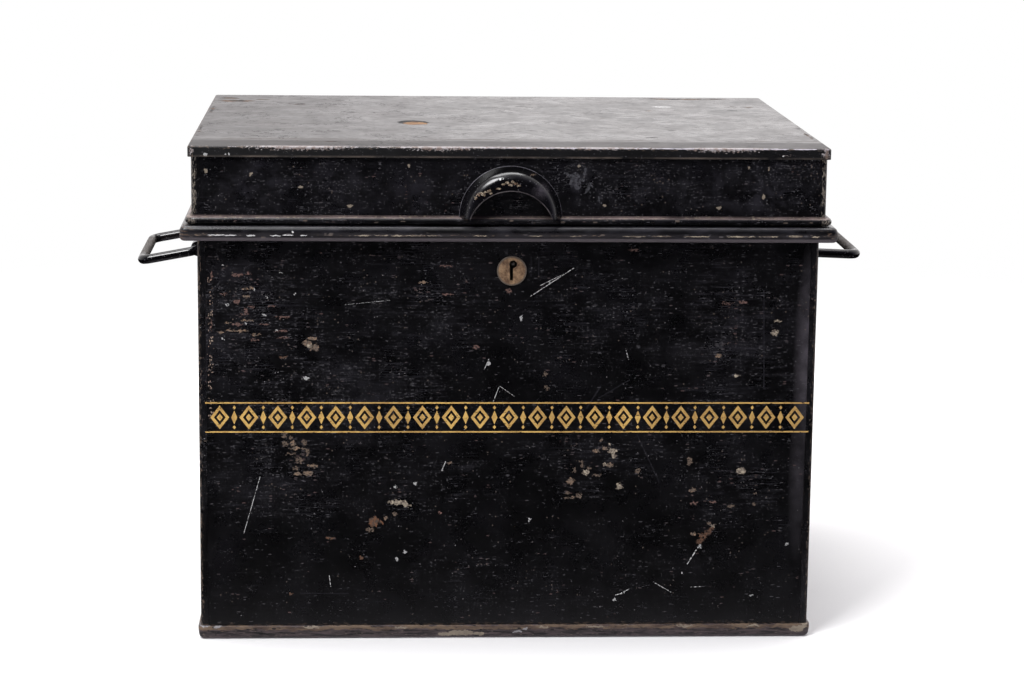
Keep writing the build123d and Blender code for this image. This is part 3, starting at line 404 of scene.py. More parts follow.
# ================================================================ other sheets of the body
def wall_look(name, shift, across):
    """An end or the back: rubbed all over, worn along its corners and foot."""
    look = japan(name, shift)
    patches = look.step(look.noise(85 * MM, 3, 0.5, shift=shift + 2), 0.34, 0.66)
    clouds = look.step(look.noise(24 * MM, 5, 0.66, (1.6, 1.6, 0.8), shift + 3), 0.46, 0.76)
    look.lay(look.times(clouds, patches, 0.34), HAZE, 0.5)
    speckle(look, look.math("MULTIPLY", patches, 0.46), shift, across)
    ragged = look.step(look.noise(45 * MM, 2, shift=shift + 9), 0.60, 0.74)
    chips = look.flakes(look.math("MULTIPLY", ragged, 0.60), 2.2 * MM, (1.3, 1.3, 0.8), shift + 31)
    look.lay(look.times(chips, 0.9), look.mix(look.step(look.noise(4 * MM), 0.4, 0.6), BROWN, TAN), 0.6, -1.0)
    in_x = look.math("SUBTRACT", half_width, look.math("ABSOLUTE", look.x))
    in_y = look.math("SUBTRACT", half_depth, look.math("ABSOLUTE", look.y))
    corner = look.math("SUBTRACT", 1.0, look.math("DIVIDE", look.math("MAXIMUM", in_x, in_y), 6 * MM),
                       clamp=True)
    look.lay(look.times(look.flakes(look.math("MULTIPLY", corner, 0.68), 1.4 * MM, (0.7, 0.7, 2.0),
                                    shift + 7, 0.06), 0.8),
             look.mix(look.noise(6 * MM), BROWN, TAN), 0.6, -0.5)
    foot = look.math("SUBTRACT", 1.0, look.math(
        "DIVIDE", look.math("SUBTRACT", look.z, rim_high.z), 8 * MM), clamp=True)
    look.lay(look.flakes(look.math("MULTIPLY", foot, 0.6), 1.6 * MM, (2.5, 2.5, 0.7), shift + 9),
             BROWN, 0.7)
    return look.done(swell=look.swell(90 * MM, 1.5 * MM, shift=shift + 2))


RIM_TAN_CHIPS = [
    (-30, 3.5, 9, 2.0), (-40, 2.5, 5, 1.5), (-18, 3.2, 4, 1.4), (196, 5.5, 5, 2.5), (201, 9, 2.0, 3.5), (-70, 7.5, 5, 0.8),
    (60, 7.6, 7, 0.7), (120, 8.0, 6, 0.7), (-130, 7.8, 6, 0.7), (25, 7.4, 4, 0.7), (166, 7.8, 5, 0.7),
]
RIM_GREY_CHIPS = [(-202, 12, 1.6, 4), (-198, 9.5, 2.4, 1.0), (-192, 8.6, 2.5, 0.9), (8, 4, 3.5, 1.0), (13, 6.5, 2.0, 0.8)]


def rim_look():
    """The bottom pan: its folded edge is worn to brown, and rubbed grey where it stands out."""
    look = japan("japan_rim", 17.0)
    streaked = look.step(look.noise(1.6 * MM, 5, 0.7, (7, 7, 0.7)), 0.36, 0.62)
    look.lay(look.times(streaked, 0.85), (0.092, 0.066, 0.068), 0.5)
    wander = look.math("MULTIPLY_ADD", look.noise(14 * MM, 3, 0.6, shift=3.0), 5.0 * MM, -2.5 * MM)
    upper = look.near(look.math("ADD", look.z, wander), rim_high.z - 1.2 * MM, 3.6 * MM)
    brown = look.mix(look.step(look.noise(5 * MM, 4, 0.6, (3, 3, 1)), 0.38, 0.62), (0.072, 0.044, 0.032),
                     (0.165, 0.112, 0.072))
    look.lay(look.times(look.flakes(look.math("MULTIPLY", upper, 1.1), 1.5 * MM, (3.6, 3.6, 0.7), 5.0, 0.14), 0.9),
             brown, 0.6, -0.4)
    look.lay(look.times(look.dots(0.45, 1.4 * MM, 0.5 * MM, (2.4, 2.4, 1), 29.0), 0.7),
             look.mix(look.noise(5 * MM), GREY, TAN), 0.5)
    look.lay(look.times(look.dots(0.34, 1.8 * MM, 0.7 * MM, (2.4, 2.4, 0.8), 30.0), 0.9), BLACK, 0.4)
    ragged = look.shaken(3 * MM, 1.1 * MM, 7.0)
    look.lay(look.times(look.chips(RIM_TAN_CHIPS, ragged), 0.9), look.mix(look.noise(3 * MM), TAUPE, CREAM), 0.6, -0.8)
    look.lay(look.times(look.chips(RIM_GREY_CHIPS, ragged), 0.9), TIN, 0.45, -0.5)
    return look.done()


# ================================================================ ledge
LEDGE_WHITE_CHIPS = [
    (-190, 273.3, 6.5, 0.36), (-181, 273.2, 4, 0.34), (-168, 273.0, 3.0, 0.5), (-152, 273.0, 3.6, 0.32),
    (-144, 273.4, 3.6, 0.36), (-141, 275.4, 0.8, 0.6), (-134, 273.2, 2.5, 0.36),
]
LEDGE_CREAM_CHIPS = [
    (-96, 273.3, 6, 0.36), (-84, 273.4, 5, 0.32), (-74, 273.3, 4, 0.4), (-62, 273.3, 7, 0.36), (-50, 273.4, 5, 0.3),
    (-20, 273.3, 5, 0.25), (16, 273.3, 5, 0.25), (42, 273.3, 4, 0.25), (80, 273.3, 8, 0.34), (98, 273.4, 7, 0.36),
    (121, 273.3, 9, 0.34), (150, 273.3, 10, 0.40), (168, 273.4, 7, 0.36), (186, 273.6, 5, 0.8), (199, 273.3, 3, 0.5),
]


def ledge_look():
    look = japan("japan_ledge", 27.0)
    look.lay(look.times(look.step(look.noise(9 * MM, 4, 0.6, (2, 2, 1)), 0.40, 0.70), 0.4), HAZE, 0.45)
    crest_z = (ledge_low.z + ledge_high.z) / 2 - 0.6 * MM
    # The lower flank is painted lighter: a painted reflection of the floor, laid as a dusty grey
    under = look.step(look.math("SUBTRACT", crest_z, look.z), 1.2 * MM, 2.6 * MM)
    look.lay(look.times(under, 0.85), (0.084, 0.070, 0.080), 0.5)
    crest = look.near(look.z, crest_z, 2.2 * MM)
    look.lay(look.times(crest, look.remap(look.noise(11 * MM, 4, 0.6, (3, 3, 1), 4.0), 0.3, 0.7, 0.3, 1.0)),
             (0.032, 0.028, 0.031), 0.42)
    look.lay(look.times(look.dots(look.math("MULTIPLY", crest, 0.55), 1.5 * MM, 0.7 * MM, (2.6, 2.6, 1), 5.0), 0.8),
             look.mix(look.step(look.noise(20 * MM, 2), 0.42, 0.6), GREY, TAUPE), 0.5, -0.3)
    worn = look.step(look.noise(30 * MM, 2, shift=9.0), 0.40, 0.62)
    look.lay(look.times(look.flakes(look.times(crest, worn, 0.62), 0.8 * MM, (5, 5, 0.8), 12.0, 0.06), 0.8),
             look.mix(look.step(look.noise(8 * MM, 3), 0.40, 0.60), BROWN, TAN), 0.55, -0.5)
    # A painted highlight: a thin light line along the ledge's top edge
    edge_highlight = look.near(look.z, ledge_high.z - 0.7 * MM, 0.7 * MM)
    look.lay(look.times(look.step(edge_highlight, 0.2, 0.9), look.remap(look.noise(14 * MM, 4), 0.3, 0.7, 0.15, 0.75)),
             (0.085, 0.082, 0.090), 0.4)
    end = look.step(look.math("SUBTRACT", look.math("ABSOLUTE", look.x), half_width), -6 * MM, 4 * MM)
    end = look.times(end, look.step(look.math("ABSOLUTE", look.y), half_depth - 14 * MM, half_depth))
    look.lay(look.times(look.flakes(look.math("MULTIPLY", end, 0.52), 1.8 * MM, (3, 3, 0.6), 14.0, 0.08), 0.75),
             look.mix(look.noise(5 * MM), BROWN, (0.13, 0.075, 0.045)), 0.6, -0.5)
    ragged = look.shaken(1.6 * MM, 0.4 * MM, 3.0)
    on_front = look.math("LESS_THAN", look.y, -half_depth)
    look.lay(look.times(look.chips(LEDGE_CREAM_CHIPS, ragged), on_front, 0.8),
             look.mix(look.step(look.noise(4 * MM, 3), 0.36, 0.64), TAUPE, CREAM), 0.5, -0.7)
    look.lay(look.times(look.chips(LEDGE_WHITE_CHIPS, ragged), on_front, 0.85), WHITE, 0.4, -0.7)
    return look.done()


# ================================================================ lid
LID_CLOUD = [
    (160, 303, 42, 22, 0.8), (-165, 305, 40, 20, 0.6), (-110, 308, 30, 16, 0.55), (60, 300, 26, 16, 0.5),
    (46, 308, 9, 12, 1.0), (-60, 300, 50, 20, 0.4), (110, 300, 50, 24, 0.4),
]
LID_CHIPS = [
    (-196.7, 314, 1.2, 1.6), (-168, 312, 1.0, 1.4), (-136, 303.7, 1.6, 0.8), (-104, 291.5, 2.0, 1.0),
    (165, 298.5, 1.0, 2.0), (155, 317.5, 0.8, 1.4), (168, 317, 0.8, 1.4), (61, 292.5, 1.3, 1.0),
    (-66, 318, 1.2, 0.8), (44, 318, 1.1, 0.8), (136, 291, 1.8, 1.2),
]
LID_SMEARS = [
    (41, 311, 3.0, 4.0), (43, 305.5, 2.2, 3.0), (39.5, 306, 1.6, 2.4), (46.5, 309, 1.4, 3.4), (50, 303, 1.8, 3.0),
    (48, 314, 1.4, 2.6), (52.5, 306.5, 1.0, 1.6), (58, 296, 1.4, 2.0), (36.5, 313, 1.2, 1.6),
]


def lid_wall_look():
    """The lid's walls, with the bead along their foot lighter on top: worn brown, and a painted highlight."""
    look = japan("japan_lid_wall", 37.0)
    cloud = look.step(look.noise(10 * MM, 5, 0.66, (1.3, 1.3, 1.2), 4.0), 0.42, 0.72)
    on_front = look.math("LESS_THAN", look.y, -half_depth)
    clouded = look.math("ADD", look.times(look.spots(LID_CLOUD), on_front), 0.12)
    look.lay(look.times(cloud, clouded, 0.8), HAZE, 0.45)
    smoky = look.shaken(3.5 * MM, 2.2 * MM, 9.0)
    veil = look.remap(look.noise(1.8 * MM, 5, 0.75), 0.38, 0.62, 0.0, 0.9)
    look.lay(look.times(look.chips(LID_SMEARS, smoky), veil, on_front, 0.8), (0.090, 0.090, 0.104), 0.55)
    speckle(look, look.remap(look.noise(50 * MM, 2, shift=6.0), 0.35, 0.65, 0.10, 0.34), 15.0)
    ragged = look.shaken(2 * MM, 0.7 * MM, 11.0)
    look.lay(look.times(look.chips(LID_CHIPS, ragged), on_front, 0.75), look.mix(look.noise(2 * MM), TAUPE, CREAM), 0.5, -0.6)
    in_from_end = look.math("SUBTRACT", lid_high.x, look.math("ABSOLUTE", look.x))
    corner = look.math("SUBTRACT", 1.0, look.math("DIVIDE", in_from_end, 4 * MM), clamp=True)
    corner = look.times(corner, look.step(look.math("ABSOLUTE", look.y), half_depth - 3 * MM, half_depth))
    look.lay(look.times(look.flakes(look.math("MULTIPLY", corner, 0.58), 1.1 * MM, (0.6, 1, 2.2), 13.0, 0.06), 0.7),
             look.mix(look.noise(5 * MM), GREY, CREAM), 0.5, -0.4)
    # The bead's top is laid lighter: brown wear and a painted highlight together
    bead = look.near(look.z, bead_top, 1.1 * MM)
    uneven = look.remap(look.noise(18 * MM, 4, 0.6, shift=2.0), 0.35, 0.65, 0.35, 1.0)
    look.lay(look.times(look.step(bead, 0.05, 0.6), uneven, 0.9), (0.22, 0.168, 0.160), 0.5)
    look.lay(look.times(look.dots(look.math("MULTIPLY", bead, 0.9), 1.5 * MM, 0.7 * MM, (2.2, 2.2, 1), 25.0), 0.8),
             look.mix(look.noise(7 * MM), TAUPE, CREAM), 0.5, -0.3)
    outer = look.near(look.z, (lid_low.z + bead_top) / 2, 2.0 * MM)
    look.lay(look.times(look.dots(look.math("MULTIPLY", outer, 0.22), 1.6 * MM, 0.7 * MM, (2.6, 2.6, 1), 28.0), 0.7),
             TAUPE, 0.45, -0.3)
    return look.done(swell=look.swell(60 * MM, 0.7 * MM, shift=8.0))


PLATE_BROWN = [
    (-196, 126, 20, 26, 0.80), (-188, 148, 30, 12, 0.60), (-150, 140, 60, 14, 0.42), (160, 152, 50, 10, 0.85),
    (-165, 112, 26, 22, 0.45), (-60, 95, 22, 9, 0.50), (10, 55, 16, 7, 0.50), (-185, -130, 40, 26, 0.62),
    (-120, -145, 80, 12, 0.60), (-175, -60, 34, 60, 0.40), (120, -130, 70, 16, 0.42), (40, -140, 120, 12, 0.45),
    (60, 90, 40, 8, 0.35), (200, 60, 12, 110, 0.45),
]
PLATE_STAINS = [
    (-190, 122, 24, 15, 1.3), (-196, 142, 16, 18, 1.0), (-168, 132, 26, 10, 0.8), (-205, 60, 4, 90, 0.8),
    (-206, -70, 4, 90, 0.8), (-140, 100, 36, 22, 0.66), (150, 154, 70, 9, 1.1), (112, 66, 14, 7, 0.8),
    (185, 96, 34, 14, 0.66), (205, -90, 5, 80, 0.8), (-120, -138, 70, 9, 0.70),
]
PLATE_OVAL = [(-60.0, -27.0, 9.0, 10.0)]
PLATE_OVAL_DARK = [(-61.5, -21.0, 11.5, 13.0)]
PLATE_DUST = [(125.6, 94.8, 8.0, 2.0)]
PLATE_FRONT_WEAR = [
    (-135, 331, 70, 6.5, 1.10), (-45, 331, 55, 6.5, 1.05), (60, 331, 60, 5.0, 0.95), (140, 331, 60, 6.5, 1.05),
    (205, 327, 6, 8, 0.9), (-206, 327, 4, 8, 0.8), (0, 331, 260, 4.2, 0.90), (178, 326, 14, 3.5, 0.62),
]
PLATE_FRONT_CHIPS = [(-197, 324.6, 1.6, 1.1), (-184.5, 325.1, 0.6, 0.8), (-182, 325, 0.6, 0.9), (177, 325.6, 0.7, 0.7)]
CREASE_IN, STRIP_IN = 43 * MM, 27 * MM


def plate_look():
    """The lid's top: glossy japan that mirrors the room, with brown stains and worn edges."""
    look = japan("japan_plate", 47.0)
    dull = look.remap(look.x, -0.19, 0.03, 0.10, 0.0, smooth=True)
    strip = look.remap(look.y, plate_low.y + STRIP_IN, plate_low.y + CREASE_IN, 0.22, 0.0, smooth=True)
    gloss = look.remap(look.noise(30 * MM, 5, 0.66, shift=6), 0.3, 0.7, 0.21, 0.35)
    look.roughness = look.math("ADD", gloss, look.math("ADD", dull, strip))
    # A thin warm brown tint over the top: painted warmth standing in for the warm light that the top mirrors
    warm_light_tint = look.remap(look.noise(35 * MM, 4, 0.6, shift=12.0), 0.3, 0.7, 0.30, 0.85)
    on_top = look.step(look.z, plate_high.z - 1.0 * MM, plate_high.z - 0.2 * MM)
    look.lay(look.times(warm_light_tint, on_top), (0.020, 0.0135, 0.0125), look.roughness)
    mottle = look.step(look.noise(5 * MM, 5, 0.7, (1.3, 1, 1), 9.0), 0.44, 0.66)
    look.lay(look.times(mottle, 0.24), SOOT, 0.62)
    flecks = look.flakes(look.math("MULTIPLY_ADD", look.noise(60 * MM, 2, shift=3.0), 0.5, 0.02), 6 * MM,
                         (1.3, 1, 1), 19.0, 0.10)
    look.lay(look.times(flecks, on_top, 0.55), BROWN, 0.80)
    vein = look.near(look.noise(13 * MM, 4, 0.62, (1.5, 1, 1), 27.0), 0.5, 0.016)
    cracked = look.step(look.noise(42 * MM, 3, 0.55, shift=23.0), 0.47, 0.62)
    left_most = look.remap(look.x, -0.20, 0.10, 1.0, 0.35, smooth=True)
    look.lay(look.times(vein, cracked, left_most, on_top, 0.95), SOOT, 0.95)
    dents = look.dots(0.10, 12 * MM, 3.0 * MM, (1.6, 1.0, 1), 27.0)
    look.lay(look.times(dents, look.noise(3 * MM, 3), on_top, 0.8), SOOT, 0.85)
    look.lay(look.times(look.flakes(look.spots(PLATE_BROWN, "xy"), 5 * MM, (1.4, 1, 1), 3.0, 0.25), on_top, 0.75),
             look.mix(look.noise(8 * MM), BROWN, TAN), 0.80)
    stained = look.flakes(look.spots(PLATE_STAINS, "xy"), 4 * MM, (2.0, 1, 1), 33.0, 0.12)
    look.lay(look.times(stained, on_top, 0.85), look.mix(look.step(look.noise(9 * MM), 0.40, 0.64), SOOT, (0.125, 0.075, 0.045)), 1.0)
    ragged = look.shaken(6 * MM, 2.0 * MM, 5.0)
    look.lay(look.times(look.chips(PLATE_OVAL_DARK, ragged, "xy"), on_top, 0.9), SOOT, 1.0, -1.0)
    look.lay(look.times(look.chips(PLATE_OVAL, ragged, "xy"), on_top, 0.9),
             look.mix(look.step(look.noise(7 * MM), 0.4, 0.6), (0.12, 0.058, 0.026), (0.23, 0.130, 0.060)), 0.95, -0.6)
    look.lay(look.times(look.chips(PLATE_DUST, ragged, "xy"), on_top), WHITE, 0.5)
    crease = look.near(look.y, plate_low.y + CREASE_IN, 3.0 * MM)
    look.lay(look.times(crease, on_top, look.remap(look.noise(30 * MM, 3), 0.35, 0.6, 0.0, 0.6)), BROWN, 0.75)
    in_x = look.math("SUBTRACT", plate_high.x, look.math("ABSOLUTE", look.x))
    in_y = look.math("SUBTRACT", plate_high.y, look.math("ABSOLUTE", look.y))
    below = look.math("SUBTRACT", plate_high.z, look.z)
    away = look.math("MAXIMUM", look.math("MINIMUM", in_x, in_y), below)
    brim = look.math("SUBTRACT", 1.0, look.math("DIVIDE", away, 5 * MM), clamp=True)
    look.lay(look.times(look.flakes(look.math("MULTIPLY", brim, 0.66), 1.5 * MM, (2.4, 2.4, 1), 18.0, 0.1), 0.8),
             look.mix(look.noise(8 * MM), BROWN, TAN), 0.6, -0.4)
    on_front = look.math("LESS_THAN", look.y, plate_low.y + 4 * MM)
    # Pale lavender flakes along the front edge's crest: chipped paint and a painted highlight line, denser to the right
    crest = look.math("SUBTRACT", 1.0, look.math("DIVIDE", away, 1.5 * MM), clamp=True)
    wear_and_highlight_rightward = look.remap(look.x, -0.19, 0.04, 0.62, 1.15, smooth=True)
    look.lay(look.times(look.flakes(look.times(crest, wear_and_highlight_rightward), 1.1 * MM, (4, 4, 1), 21.0, 0.10), on_front, 0.9),
             (0.40, 0.375, 0.43), 0.4, -0.3)
    worn = look.flakes(look.spots(PLATE_FRONT_WEAR), 1.2 * MM, (1.3, 1, 1.0), 24.0, 0.05)
    look.lay(look.times(worn, on_front, 0.9),
             look.mix(look.step(look.noise(3 * MM), 0.4, 0.6), (0.17, 0.125, 0.11), (0.30, 0.275, 0.28)), 0.5, -0.5)
    fold = look.near(in_x, 3.2 * MM, 1.3 * MM)
    folded = look.flakes(look.math("MULTIPLY", fold, 0.75), 1.0 * MM, (0.8, 1, 2), 35.0, 0.08)
    look.lay(look.times(folded, on_front, 0.8), look.mix(look.noise(4 * MM), BROWN, TAN), 0.55, -0.4)
    speckled = look.times(look.dots(0.28, 1.3 * MM, 0.5 * MM, shift=29.0), on_front, 0.6)
    look.lay(speckled, GREY, 0.5)
    small = look.shaken(2 * MM, 0.7 * MM, 15.0)
    look.lay(look.times(look.chips(PLATE_FRONT_CHIPS, small), on_front, 0.85), (0.40, 0.40, 0.40), 0.5)
    hem = look.near(look.z, plate_low.z + 0.6 * MM, 1.0 * MM)
    look.lay(look.times(hem, on_front, look.remap(look.noise(16 * MM, 3), 0.35, 0.65, 0.0, 0.8)), TAUPE, 0.5)
    waves = look.swell(80 * MM, 0.30 * MM, 2.0, shift=4.0)
    return look.done(swell=look.swell(7 * MM, 0.018 * MM, 4.0, (1.6, 1, 1), under=waves))


# x, z, half-width and half-height, in millimetres
PULL_TAN_CHIPS = [
    (-23.4, 298.6, 1.0, 1.2), (-21.6, 300.4, 1.5, 0.9), (-20, 302, 1.6, 0.8), (-18.4, 300.6, 1.2, 0.9),
    (-16.6, 302.6, 1.8, 0.8), (-14.4, 303.4, 1.4, 0.8), (-13.4, 301.4, 1.0, 0.8), (-8.6, 304.6, 2.0, 0.6),
    (-5.6, 307.6, 1.4, 0.7), (-3.2, 308.6, 1.5, 0.8), (-1, 307, 1.6, 0.8), (0.6, 309.2, 0.9, 1.1),
    (2.6, 308, 1.5, 0.8), (4.6, 306.8, 1.2, 0.7),
]
PULL_WORN = [(14, 313, 6, 2, 0.75), (-1, 307.5, 8, 3, 0.70), (-18, 301.5, 7, 3, 0.70), (-10, 304.5, 5, 2, 0.6)]
PULL_BARE_CHIPS = [(-7.4, 310.8, 0.8, 0.7), (-5.6, 311.4, 0.5, 0.4)]
PULL_PAINTED_REFLECTION = [(19, 303, 7, 6, 1.0)]
MOUTH_HALF_WIDTH, MOUTH_HEIGHT = 26.5 * MM, 18.4 * MM
MOUTH_RADIUS = (MOUTH_HALF_WIDTH ** 2 + MOUTH_HEIGHT ** 2) / (2 * MOUTH_HEIGHT)


def pull_look():
    """The pressed finger pull: glossy, with a rubbed mouth, a painted pale reflection on its right shoulder, and
    painted highlight lines along its mouth's edge and its foot.
    """
    look = japan("japan_pull", 57.0)
    look.roughness = look.remap(look.noise(5 * MM, 4, 0.6), 0.3, 0.7, 0.12, 0.26)
    look.lay(look.times(look.dots(0.20, 1.3 * MM, 0.45 * MM, shift=4.0), 0.6), GREY, 0.5)
    # A painted reflection: a pale patch on the pull's right shoulder
    look.lay(look.times(look.spots(PULL_PAINTED_REFLECTION), look.remap(look.noise(2 * MM, 4), 0.3, 0.7, 0.3, 1.0), 0.8),
             (0.060, 0.052, 0.064), 0.5)
    look.lay(look.times(look.flakes(look.spots(PULL_WORN), 1.1 * MM, (1, 1, 1), 7.0, 0.08), 0.85),
             look.mix(look.noise(3 * MM), BROWN, TAN), 0.45, -0.5)
    ragged = look.shaken(1.6 * MM, 0.6 * MM, 3.0)
    torn = look.step(look.noise(0.8 * MM, 3, 0.65, shift=6.0), 0.42, 0.54)
    look.lay(look.times(look.chips(PULL_TAN_CHIPS, ragged), look.remap(torn, 0, 1, 0.15, 0.9)),
             look.mix(look.step(look.noise(1.3 * MM), 0.40, 0.62), (0.12, 0.068, 0.038), CREAM), 0.4, -0.6)
    look.lay(look.chips(PULL_BARE_CHIPS, ragged), WHITE, 0.3, -0.4)
    centre = (0.0, 0.0, pull_low.z + MOUTH_HEIGHT - MOUTH_RADIUS)
    out = look.vector("LENGTH", look.vector("MULTIPLY", look.vector("SUBTRACT", look.place, centre), (1, 0, 1)))
    # A painted highlight: a thin light line along the mouth's cut edge
    edge_highlight = look.near(out, MOUTH_RADIUS + 0.1 * MM, 0.6 * MM)
    look.lay(look.times(edge_highlight, look.remap(look.noise(6 * MM, 3), 0.3, 0.7, 0.2, 0.9)), (0.16, 0.14, 0.145), 0.35)
    # A painted highlight: a light line along the pull's foot on the wall
    foot = look.near(look.y, pull_high.y, 1.0 * MM)
    look.lay(look.times(foot, look.remap(look.noise(12 * MM, 3), 0.3, 0.7, 0.3, 1.0)), (0.26, 0.25, 0.285), 0.35)
    return look.done(relief=0.04 * MM)


# ================================================================ fittings
def fitting_look(name, shift, worn):
    """Japanned fittings, with grey specks and brown rubbed flakes scattered all over."""
    look = japan(name, shift)
    look.lay(look.times(look.dots(0.3, 1.4 * MM, 0.5 * MM, shift=shift + 1), 0.6), GREY, 0.5)
    look.lay(look.flakes(worn, 2.0 * MM, (1, 1, 1), shift + 3, 0.08), look.mix(look.noise(3 * MM), BROWN, TAN),
             0.55, -0.5)
    return look.done()


def handle_look():
    """Black rod, its grip rubbed to grey iron."""
    look = japan("handle_black", 67.0)
    look.roughness = look.remap(look.noise(6 * MM, 4, 0.6), 0.3, 0.7, 0.07, 0.18)
    grip = look.step(look.near(look.y, 0.0, 54 * MM), 0.05, 0.45)
    look.lay(look.times(grip, look.remap(look.noise(4 * MM, 4, 0.6, (1, 2, 1), 8.0), 0.3, 0.7, 0.5, 1.0)),
             (0.040, 0.031, 0.026), 0.80)
    rubbed = look.flakes(look.math("MULTIPLY_ADD", grip, 0.38, 0.10), 1.5 * MM, (1, 2.0, 1), 3.0, 0.10)
    look.lay(look.times(rubbed, 0.8), look.mix(look.noise(5 * MM, 3), (0.115, 0.085, 0.062), (0.17, 0.16, 0.15)),
             0.55, -0.6)
    look.lay(look.times(look.flakes(0.32, 1.2 * MM, (1, 2, 1), 6.0), 0.8), BROWN, 0.6)
    look.lay(look.times(look.dots(0.3, 1.5 * MM, 0.5 * MM, (1, 2, 1), 9.0), 0.7), GREY, 0.4)
    return look.done(relief=0.04 * MM)


def brass_look():
    """Brown old brass, darkest in its pores, its edge a little rubbed."""
    look = Look("aged_brass", BROWN, 0.45)
    look.shader.inputs["Metallic"].default_value = 0.35
    middle = (disc_low + disc_high) / 2
    from_middle = look.vector("SUBTRACT", look.place, (middle.x, 0.0, middle.z))
    out = look.vector("LENGTH", look.vector("MULTIPLY", from_middle, (1, 0, 1)))
    radius = (disc_high.x - disc_low.x) / 2
    look.colour = look.mix(look.step(look.noise(3.5 * MM, 5, 0.7), 0.30, 0.70), (0.115, 0.062, 0.037),
                           (0.38, 0.245, 0.140))
    look.lay(look.step(out, radius - 1.6 * MM, radius - 0.4 * MM), (0.13, 0.105, 0.085), 0.45)
    look.lay(look.times(look.flakes(0.34, 0.8 * MM, (1, 1, 1), 3.0), 0.9), (0.04, 0.026, 0.020), 0.6, -0.5)
    look.lay(look.times(look.dots(0.3, 1.2 * MM, 0.4 * MM, shift=8.0), 0.7), TAN, 0.4)
    return look.done(relief=0.04 * MM)


def iron_look():
    """Bare oiled iron of the lock, with rust in its pores."""
    look = Look("bare_iron", IRON, 0.42, 0.8)
    look.colour = look.mix(look.step(look.noise(9 * MM, 5, 0.65), 0.35, 0.7), IRON, (0.24, 0.22, 0.20))
    look.roughness = look.remap(look.noise(4 * MM, 4), 0.3, 0.7, 0.34, 0.58)
    look.lay(look.flakes(0.33, 2.2 * MM, (1.4, 1, 1), 5.0, 0.1), (0.10, 0.042, 0.018), 0.75, -0.4)
    return look.done(relief=0.05 * MM)


# ================================================================ gilt band
BAND_LOW, BAND_HIGH = 140.5, 161.0
BAND_LEFT, BAND_RIGHT = -199.0, 200.0
BAND_LINE = 1.0
BAND_PERIOD = 19.0
GILT_PROUD = 0.04 * MM


def gilt_look():
    look = Look("gilt_band", GILT, 0.45)
    look.colour = look.mix(look.step(look.noise(5 * MM, 5, 0.65), 0.35, 0.7), (0.60, 0.38, 0.10), (0.42, 0.24, 0.06))
    look.lay(look.times(look.step(look.noise(60 * MM, 2), 0.40, 0.62), 0.45), (0.26, 0.145, 0.045), 0.5)
    look.lay(look.times(look.flakes(0.44, 1.1 * MM, (3.0, 1, 0.7), 3.0, 0.08), 0.9), BLACK, 0.4)
    look.lay(look.times(look.flakes(0.33, 2.0 * MM, (1.2, 1, 1), 8.0, 0.05), 0.9), BLACK, 0.4)
    return look.done()


def add_piece(name, vertices, faces, body, material):
    mesh = bpy.data.meshes.new(name)
    mesh.from_pydata(vertices, [], faces)
    mesh.update()
    piece = bpy.data.objects.new(name, mesh)
    bpy.context.scene.collection.objects.link(piece)
    piece.data.materials.append(material)
    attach(piece, body)
    return piece


def gilt_band():
    """Two fine lines with a row of lozenges, hollow and solid by turns, and small dots between."""
    vertices, faces = [], []
    face_y = front_y - GILT_PROUD
    middle = (BAND_LOW + BAND_HIGH) / 2

    def shape(points):
        start = len(vertices)
        vertices.extend((x * MM, face_y, z * MM) for x, z in points)
        faces.append(tuple(range(start, start + len(points))))

    def lozenge(x, z, half_across, half_up):
        shape([(x - half_across, z), (x, z - half_up), (x + half_across, z), (x, z + half_up)])

    def hollow_lozenge(x, z, half_across, half_up, share):
        outer = [(-half_across, 0), (0, -half_up), (half_across, 0), (0, half_up)]
        for (a, b), (c, d) in zip(outer, outer[1:] + outer[:1]):
            shape([(x + a, z + b), (x + c, z + d), (x + c * share, z + d * share), (x + a * share, z + b * share)])

    for z in (BAND_LOW, BAND_HIGH - BAND_LINE):
        shape([(BAND_LEFT, z), (BAND_RIGHT, z), (BAND_RIGHT, z + BAND_LINE), (BAND_LEFT, z + BAND_LINE)])
    count = int((BAND_RIGHT - BAND_LEFT) // BAND_PERIOD)
    first = (BAND_LEFT + BAND_RIGHT - (count - 1) * BAND_PERIOD) / 2
    for k in range(count):
        x = first + k * BAND_PERIOD
        hollow_lozenge(x, middle, 6.2, 8.0, 0.62)
        lozenge(x, middle, 2.0, 2.6)
        if k < count - 1:
            between = x + BAND_PERIOD / 2
            lozenge(between, middle, 2.0, 4.6)
            lozenge(between, middle + 6.6, 1.1, 1.4)
            lozenge(between, middle - 6.6, 1.1, 1.4)
    return add_piece("gilt_band", vertices, faces, "box_body", gilt_look())


# ================================================================ dressing the nodes
def dress(material, *names):
    for name in names:
        slots = nodes[name].data.materials
        slots.clear()
        slots.append(material)


dress(front_look(), "front_panel", "lock_rivets")
dress(wall_look("japan_ends", 71.0, (0, 1, 0)), "left_end", "right_end")
dress(wall_look("japan_back", 77.0, (1, 0, 0)), "back_panel")
dress(rim_look(), "bottom_pan")
dress(ledge_look(), "ledge_front", "ledge_back", "ledge_left", "ledge_right")
dress(lid_wall_look(), "lid_front", "lid_back", "lid_left", "lid_right")
dress(plate_look(), "lid_top")
dress(pull_look(), "finger_pull")
dress(fitting_look("japan_fittings", 83.0, 0.36), "hinge_strap_left", "hinge_strap_right", "hinge_rivets",
      "left_handle_plate", "left_handle_eye_front", "left_handle_eye_back", "left_handle_rivets",
      "right_handle_plate", "right_handle_eye_front", "right_handle_eye_back", "right_handle_rivets")
dress(handle_look(), "left_handle", "right_handle")
dress(brass_look(), "keyhole_disc")
dress(iron_look(), "lock_plate", "lock_case", "drill_pin", "lock_ward", "bolt_stumps", "bolt_spring",
      "lock_bolt", "strike", "strike_rivets", "lid_edge_wire")
gilt_band()


